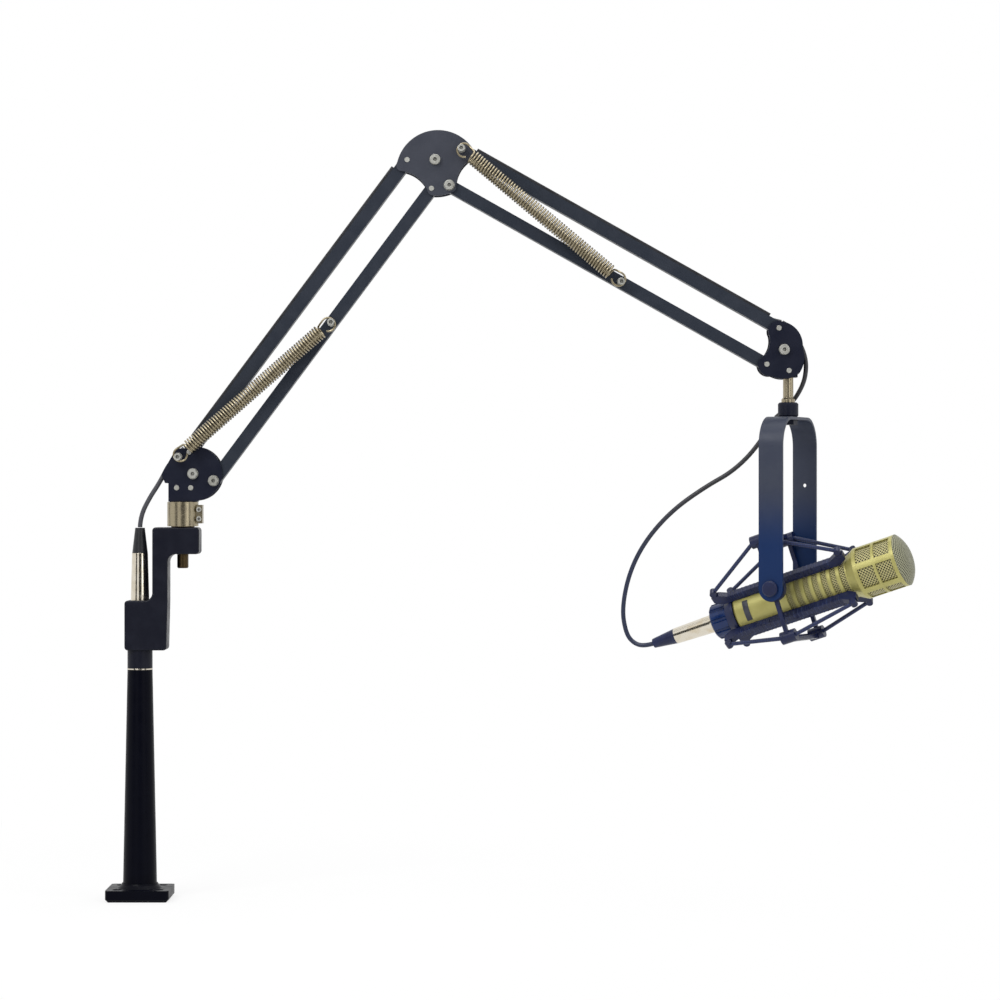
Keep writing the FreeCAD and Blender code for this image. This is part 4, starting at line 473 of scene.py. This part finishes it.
def tube_meshes(name, controls, diameter, steps, sides):
    """The line of a smooth spline through control points, and a round tube along it."""
    data = bpy.data.curves.new(name + "_line", "CURVE")
    data.dimensions = "3D"
    spline = data.splines.new("NURBS")
    spline.points.add(len(controls) - 1)
    for point, spot in zip(spline.points, controls):
        point.co = (*spot, 1.0)
    spline.order_u = 3
    spline.use_endpoint_u = True
    spline.resolution_u = steps
    holder = bpy.data.objects.new(name + "_line", data)
    bpy.context.scene.collection.objects.link(holder)
    meshes = []
    for depth in (0.0, diameter / 2):
        data.bevel_depth = depth
        data.bevel_resolution = sides
        data.use_fill_caps = True
        graph = bpy.context.evaluated_depsgraph_get()
        graph.update()
        meshes.append(bpy.data.meshes.new_from_object(holder.evaluated_get(graph)))
    bpy.data.objects.remove(holder)
    bpy.data.curves.remove(data)
    line = [vertex.co.copy() for vertex in meshes[0].vertices]
    bpy.data.meshes.remove(meshes[0])
    mesh = meshes[1]
    mesh.name = name
    mesh.polygons.foreach_set("use_smooth", [True] * len(mesh.polygons))
    return line, mesh


def middle_of(node):
    low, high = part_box(node)
    return (Vector(low) + Vector(high)) / 2


def metres(route):
    return [Vector(spot) * MM for spot in route]


def spring_line(post, anchor):
    """Control points of a tension spring: open hook, close coil, open hook."""
    radius = sizes().spring_radius
    turns = sizes().spring_turns
    axis = anchor - post
    axis.normalize()
    front = Vector((0, -1, 0))
    side = front.cross(axis)
    # The hook's inside bears on its post
    hang = radius - sizes().spring_wire / 2 - POST_RADIUS
    hook_a, hook_b = post + axis * hang, anchor - axis * hang
    neck = axis * (radius + HOOK_NECK)
    coil_a, coil_b = hook_a + neck, hook_b - neck
    line = []
    # A quadratic spline runs inside its control points by this share
    hook_out, coil_out = 1.008, 1.0097
    for degrees in range(325, 55, -20):
        angle = math.radians(degrees)
        line.append(hook_a + (axis * math.cos(angle) + side * math.sin(angle)) * radius * hook_out)
    first, last = math.radians(40), math.tau * turns - math.radians(40)
    count = turns * 16
    for index in range(count + 1):
        share = index / count
        angle = first + (last - first) * share
        spot = coil_a.lerp(coil_b, share)
        line.append(spot + (side * math.cos(angle) + front * math.sin(angle)) * radius * coil_out)
    for degrees in range(65, 335, 20):
        angle = math.radians(degrees)
        line.append(hook_b + (side * math.sin(angle) - axis * math.cos(angle)) * radius * hook_out)
    return line


class BOOMARM_OT_springs(bpy.types.Operator):
    """Winds the two balance springs between their posts"""

    bl_idname = "boom_arm.springs"
    bl_label = "Balance springs"

    def execute(self, context):
        tint = opaque(colours().nickel)
        wire = plated_metal("Nickel plated spring wire", tint, colour("#5C5038"), 0.24, 0.4, "Y")
        for node, post_node, anchor_node, bodies in (
                ("lower_spring", "shoulder_spring_post", "lower_spring_anchor", ("swivel", "lower_inner")),
                ("upper_spring", "elbow_spring_post", "upper_spring_anchor", ("elbow", "upper_inner"))):
            post, anchor = middle_of(post_node), middle_of(anchor_node)
            post.y = anchor.y = middle_of(node).y
            coil = spring_line(post, anchor)
            _, mesh = tube_meshes("wound_" + node, coil, sizes().spring_wire, *SPRING_STEPS)
            piece = shown("wound_" + node, mesh, wire)
            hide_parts(node)
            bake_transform(piece)
        return {"FINISHED"}


class BOOMARM_OT_leads(bpy.types.Operator):
    """Lays the microphone lead: the free lengths as cords and the held lengths along the bars"""

    bl_idname = "boom_arm.leads"
    bl_label = "Microphone lead"

    def execute(self, context):
        jacket = cable_jacket("Rubber cable jacket", colour("#242429"), colour("#121E3C"))
        grey = cable_jacket("Grey rubber cable jacket", colour("#3A3B42"), colour("#3A3B42"))
        thick = sizes().lead
        # Each lead is laid as a round tube through the points of its route
        free = (
            ("riser_lead", RISER_ROUTE, "plug", "taut", ("plug_boot", "plug_barrel"),
             ("swivel", "riser"), RISER_BEND),
            ("head_lead", HEAD_ROUTE, "object", "hanging", (), ("head", "yoke"), HEAD_ROUTE[2]),
            ("mic_lead", MIC_ROUTE, "plug", "hanging", ("mic_plug_boot", "mic_plug_barrel"),
             ("yoke", "cradle"), MIC_ROUTE[1]),
        )
        for node, route, far_end, lay, plug, bodies, bend in free:
            controls = metres(route)
            line, mesh = tube_meshes("laid_" + node, controls, thick, *LEAD_STEPS)
            piece = shown("laid_" + node, mesh, grey if node == "riser_lead" else jacket)
            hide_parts(node)
            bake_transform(piece)
        _, mesh = tube_meshes("laid_elbow_cable", metres(ELBOW_ROUTE), thick, *LEAD_STEPS)
        piece = shown("laid_elbow_cable", mesh, jacket)
        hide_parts("elbow_cable")
        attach(piece, "elbow")
        for arm, before, after, (x, z), degrees in ARM_RUNS:
            cos, sin = math.cos(math.radians(degrees)), math.sin(math.radians(degrees))
            run = metres([(x + s * cos - r * sin, 0, z + s * sin + r * cos) for s, r in RUN_STATIONS])
            # The run is two lengths, because each end bends at a different pivot
            lengths = (
                ("near", run[:4], (before, arm + "_outer"), run[0], run[1]),
                ("far", run[3:], (arm + "_outer", after), run[-2].lerp(run[-1], RUN_BEND), run[-1]),
            )
            for end, controls, bodies, first, last in lengths:
                name = "laid_%s_cable_run_%s" % (arm, end)
                _, mesh = tube_meshes(name, controls, thick, *LEAD_STEPS)
                piece = shown(name, mesh, jacket)
                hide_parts(arm + "_cable_run")
                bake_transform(piece)
        return {"FINISHED"}


class BOOMARM_OT_suspension(bpy.types.Operator):
    """Strings the elastic cords and ribs the rails of the cradle"""

    bl_idname = "boom_arm.suspension"
    bl_label = "Elastic suspension"

    def execute(self, context):
        elastic = woven_elastic("Braided elastic", colour("#0F1838"), colour("#26386E"))
        whole = bmesh.new()
        reach = PEG_RADIUS * math.sqrt(0.5)
        for end, side, rise in itertools.product((-1, 1), repeat=3):
            cleat = cradle_point(end * CLEAT[0], side * CLEAT[1], rise * CLEAT[2])
            peg = cradle_point(end * PEG_STATION, side * reach, rise * reach - SAG)
            controls = [cleat, *(cleat.lerp(peg, share) for share in (0.1, 0.5, 0.9)), peg]
            _, mesh = tube_meshes("strand", controls, sizes().elastic, *STRAND_STEPS)
            whole.from_mesh(mesh)
            bpy.data.meshes.remove(mesh)
        mesh = bpy.data.meshes.new("elastic_cords")
        whole.to_mesh(mesh)
        whole.free()
        piece = shown("elastic_cords", mesh, elastic)
        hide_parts("suspension_cords")
        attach(piece, "cradle")

        nylon = moulded_nylon("Navy nylon ribs", opaque(colours().navy), colour("#3A4A78"), 0.3, 0.5)
        ribs = bmesh.new()
        count = int(RIBBED_LENGTH * MM / sizes().rib_pitch)
        for quarter in range(4):
            spin = Matrix.Rotation(math.radians(45 + 90 * quarter), 4, "X")
            for index in range(count + 1):
                station = (index - count / 2) * sizes().rib_pitch
                made = bmesh.ops.create_cube(ribs, size=1.0)["verts"]
                bmesh.ops.scale(ribs, verts=made, vec=[side * MM for side in RIB])
                rim = list({edge for vertex in made for edge in vertex.link_edges})
                made = bmesh.ops.bevel(ribs, geom=rim, offset=RIB_BEVEL * MM, offset_type="OFFSET",
                                       segments=1, profile=0.5, affect="EDGES", material=-1)["verts"]
                seat = (CRADLE @ Matrix.Translation((0, 0, -SAG * MM)) @ spin
                        @ Matrix.Translation((station, 0, RIB_RISE * MM)))
                bmesh.ops.transform(ribs, matrix=seat, verts=made)
        mesh = bpy.data.meshes.new("rail_ribs")
        ribs.to_mesh(mesh)
        ribs.free()
        piece = shown("rail_ribs", mesh, nylon)
        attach(piece, "cradle")
        return {"FINISHED"}


class BOOMARM_OT_finishes(bpy.types.Operator):
    """Gives every rigid piece its finish"""

    bl_idname = "boom_arm.finishes"
    bl_label = "Finishes"

    def execute(self, context):
        powder, riser, nickel, navy, khaki = (
            opaque(getattr(colours(), name)) for name in ("powder", "riser", "nickel", "navy", "khaki"))
        finishes = (
            # Painted light: one powder coat in three tones; the elbow plates' slate and the bars' dark
            # slate are made lighter where they stand higher under the top light
            (powder_coated_steel("Powder coat painted lit, elbow plates", powder, colour("#3E414C"), 0.42, 0.7),
             "elbow_front_plate elbow_rear_plate"),
            (powder_coated_steel("Powder coat painted lighter, arm bars", colour("#232934"), colour("#2D323D"),
                                 0.42, 0.7, 0.24),
             "lower_outer_bar lower_inner_bar upper_outer_bar upper_inner_bar"),
            (powder_coated_steel("Black powder coated steel", colour("#0B1022"), colour("#161B2C"),
                                 0.42, 0.7, 0.2),
             "shoulder_front_plate shoulder_rear_plate swivel_block head_front_plate head_rear_plate"
             " stud_block yoke_nut"),
            (powder_coated_steel("Painted riser tube", riser, colour("#080A16"), 0.34, 1.1, 0.06),
             "base_flange riser_column"),
            (powder_coated_steel("Painted riser casting", colour("#10121E"), colour("#1C1F2C"),
                                 0.38, 1.1, 0.14), "riser_head"),
            (powder_coated_steel("Powder coated yoke strap", colour("#363B4A"), colour("#40454F"),
                                 0.4, 0.7, 0.2, colour("#082652")), "yoke_strap"),
            (plated_metal("Bright nickel plate", colour("#DAD3C4"), colour("#B9AC92"), 0.13, 0.5, "Z"),
             "column_joint_ring plug_barrel"),
            (plated_metal("Bright nickel plate on the tail plug", colour("#DAD3C4"), colour("#C2AE84"),
                          0.14, 0.5, "X"), "mic_plug_barrel"),
            (plated_metal("Satin nickel turning", nickel, colour("#8A8070"), 0.26, 0.35, "X"),
             "swivel_collar head_stud"),
            (plated_metal("Bright zinc plate", colour("#C4C4BE"), colour("#97958A"), 0.38, 0.6, "Y"),
             "collar_clamp_screws shoulder_main_bolt shoulder_pivot_pins shoulder_spring_post"
             " lower_spring_anchor upper_spring_anchor elbow_main_bolt elbow_pivot_pins elbow_spring_post"
             " head_main_bolt head_rivets"),
            (plated_metal("Dull brass", colour("#4E412C"), colour("#2A2318"), 0.36, 0.5, "Z"),
             "swivel_pin hook_bush"),
            (moulded_nylon("Black nylon", colour("#16171C"), colour("#2A2C34"), 0.42, 0.6),
             "lower_cable_cover upper_cable_cover riser_socket plug_boot"),
            (moulded_nylon("Navy nylon", navy, colour("#122252"), 0.34, 0.6),
             "suspension_ring cord_cleats cage_frame tilt_bolts mic_plug_boot"),
            (moulded_nylon("Gloss navy nylon", colour("#06204E"), colour("#123064"), 0.16, 0.8),
             "cage_collar"),
            (lacquered_aluminium("Khaki lacquered aluminium", khaki, colour("#857D3C")),
             "mic_body mic_head_shell"),
            (woven_wire("Dark woven wire", colour("#B4AD78"), colour("#100F0A"), 3.4, 0.4, True),
             "mic_mesh"),
            (woven_wire("Grey woven wire", colour("#9A9A7E"), colour("#34342A"), 3.0, 0.3, False),
             "front_grille mic_capsule"),
            (moulded_nylon("Plain badge enamel", colour("#2A2C38"), colour("#4A4C52"), 0.25, 0.8),
             "mic_badge"),
        )
        for material, names in finishes:
            for name in names.split():
                NODES[name].data.materials.clear()
                NODES[name].data.materials.append(material)
        return {"FINISHED"}


def sheet(name, wide, high, turns, spot, material):
    """A flat sheet of the studio, turned and then put in its place."""
    shape = bmesh.new()
    bmesh.ops.create_grid(shape, x_segments=1, y_segments=1, size=0.5)
    bmesh.ops.scale(shape, verts=shape.verts, vec=(wide, high, 1))
    for turn in turns:
        bmesh.ops.rotate(shape, verts=shape.verts, matrix=turn)
    bmesh.ops.translate(shape, verts=shape.verts, vec=spot)
    mesh = bpy.data.meshes.new(name)
    shape.to_mesh(mesh)
    shape.free()
    mesh.materials.append(material)
    item = bpy.data.objects.new(name, mesh)
    bpy.context.scene.collection.objects.link(item)
    return item


class BOOMARM_OT_stage(bpy.types.Operator):
    """Sets the pale studio, its soft lights and the camera of the photograph"""

    bl_idname = "boom_arm.stage"
    bl_label = "Studio"

    def execute(self, context):
        scene = context.scene
        scene.view_settings.view_transform = "Standard"

        world = bpy.data.worlds.new("Pale studio")
        scene.world = world
        world.use_nodes = True
        tree = world.node_tree
        tree.nodes.clear()
        strength = add(tree, "ShaderNodeMapRange", {
            "Value": seen_directly(tree), "To Min": 0.55, "To Max": 1.0})
        light = add(tree, "ShaderNodeBackground", {
            "Color": (1, 1, 1, 1), "Strength": strength.outputs["Result"]})
        add(tree, "ShaderNodeOutputWorld", {"Surface": light.outputs["Background"]})

        floor = sheet("floor", FLOOR_WIDTH, FLOOR_WIDTH, (), (0, 0, 0), white_paper())

        # Dark cards beside the camera, which only reflections see: they draw the lines in bright metal
        felt, _, _ = new_finish("Black felt card")
        finished(felt, {"Base Color": colour("#101010"), "Roughness": 1.0})
        upright = Matrix.Rotation(math.radians(90), 3, "X")
        for name, spot, wide, high in (("card_left", (-1.5, -1.6, 0.6), 0.7, 2.4),
                                       ("card_right", (2.3, -1.5, 0.6), 0.8, 2.4),
                                       ("card_front", (STUDIO_X, -2.6, 0.45), 1.5, 1.4)):
            aim = Matrix.Rotation(math.atan2(spot[0] - STUDIO_X, -spot[1]), 3, "Z")
            card = sheet(name, wide, high, (upright, aim), spot, felt)
            card.visible_camera = False
            card.visible_diffuse = False
            card.visible_shadow = False

        for name, spot, aim, power, wide in (
                ("key", (-0.9, -1.9, 2.1), (0.35, 0, 0.45), 34, 1.3),
                ("fill", (2.3, -1.7, 1.1), (0.5, 0, 0.4), 14, 1.6),
                ("top", (0.4, 0.3, 2.6), (STUDIO_X, 0, 0.5), 24, 1.8)):
            lamp = bpy.data.lights.new(name, "AREA")
            lamp.energy = power
            lamp.size = wide
            holder = bpy.data.objects.new(name, lamp)
            holder.location = spot
            holder.rotation_euler = (Vector(aim) - Vector(spot)).to_track_quat("-Z", "Y").to_euler()
            scene.collection.objects.link(holder)

        far = sizes().camera_distance
        lens = bpy.data.cameras.new("camera")
        lens.sensor_width = SENSOR_WIDTH
        lens.lens = SENSOR_WIDTH * far / PICTURE_WIDTH
        lens.clip_end = 50.0
        camera = bpy.data.objects.new("camera", lens)
        camera.location = (PICTURE_X, -far, PICTURE_Z)
        camera.rotation_euler = (math.radians(90), 0, 0)
        scene.collection.objects.link(camera)
        scene.camera = camera
        return {"FINISHED"}


class BOOMARM_PT_panel(bpy.types.Panel):
    """Lists the steps that dress the arm"""

    bl_idname = "BOOMARM_PT_panel"
    bl_label = "Boom arm"
    bl_space_type = "VIEW_3D"
    bl_region_type = "UI"
    bl_category = "Boom arm"

    def draw(self, context):
        layout = self.layout
        for step in STEPS:
            layout.operator(step.bl_idname)
        for group in (context.scene.boom_arm_sizes, context.scene.boom_arm_colours):
            box = layout.box()
            for name in group.__annotations__:
                box.prop(group, name)


STEPS = (BOOMARM_OT_stage, BOOMARM_OT_leads, BOOMARM_OT_springs, BOOMARM_OT_suspension,
         BOOMARM_OT_finishes)
CLASSES = (BoomArmSizes, BoomArmColours, *STEPS, BOOMARM_PT_panel)


def register():
    for item in CLASSES:
        bpy.utils.register_class(item)
    bpy.types.Scene.boom_arm_sizes = bpy.props.PointerProperty(type=BoomArmSizes)
    bpy.types.Scene.boom_arm_colours = bpy.props.PointerProperty(type=BoomArmColours)


def unregister():
    del bpy.types.Scene.boom_arm_colours
    del bpy.types.Scene.boom_arm_sizes
    for item in reversed(CLASSES):
        bpy.utils.unregister_class(item)


def main():
    register()
    bpy.ops.boom_arm.stage()
    bpy.ops.boom_arm.leads()
    bpy.ops.boom_arm.springs()
    bpy.ops.boom_arm.suspension()
    bpy.ops.boom_arm.finishes()


if __name__ == "__main__":
    main()
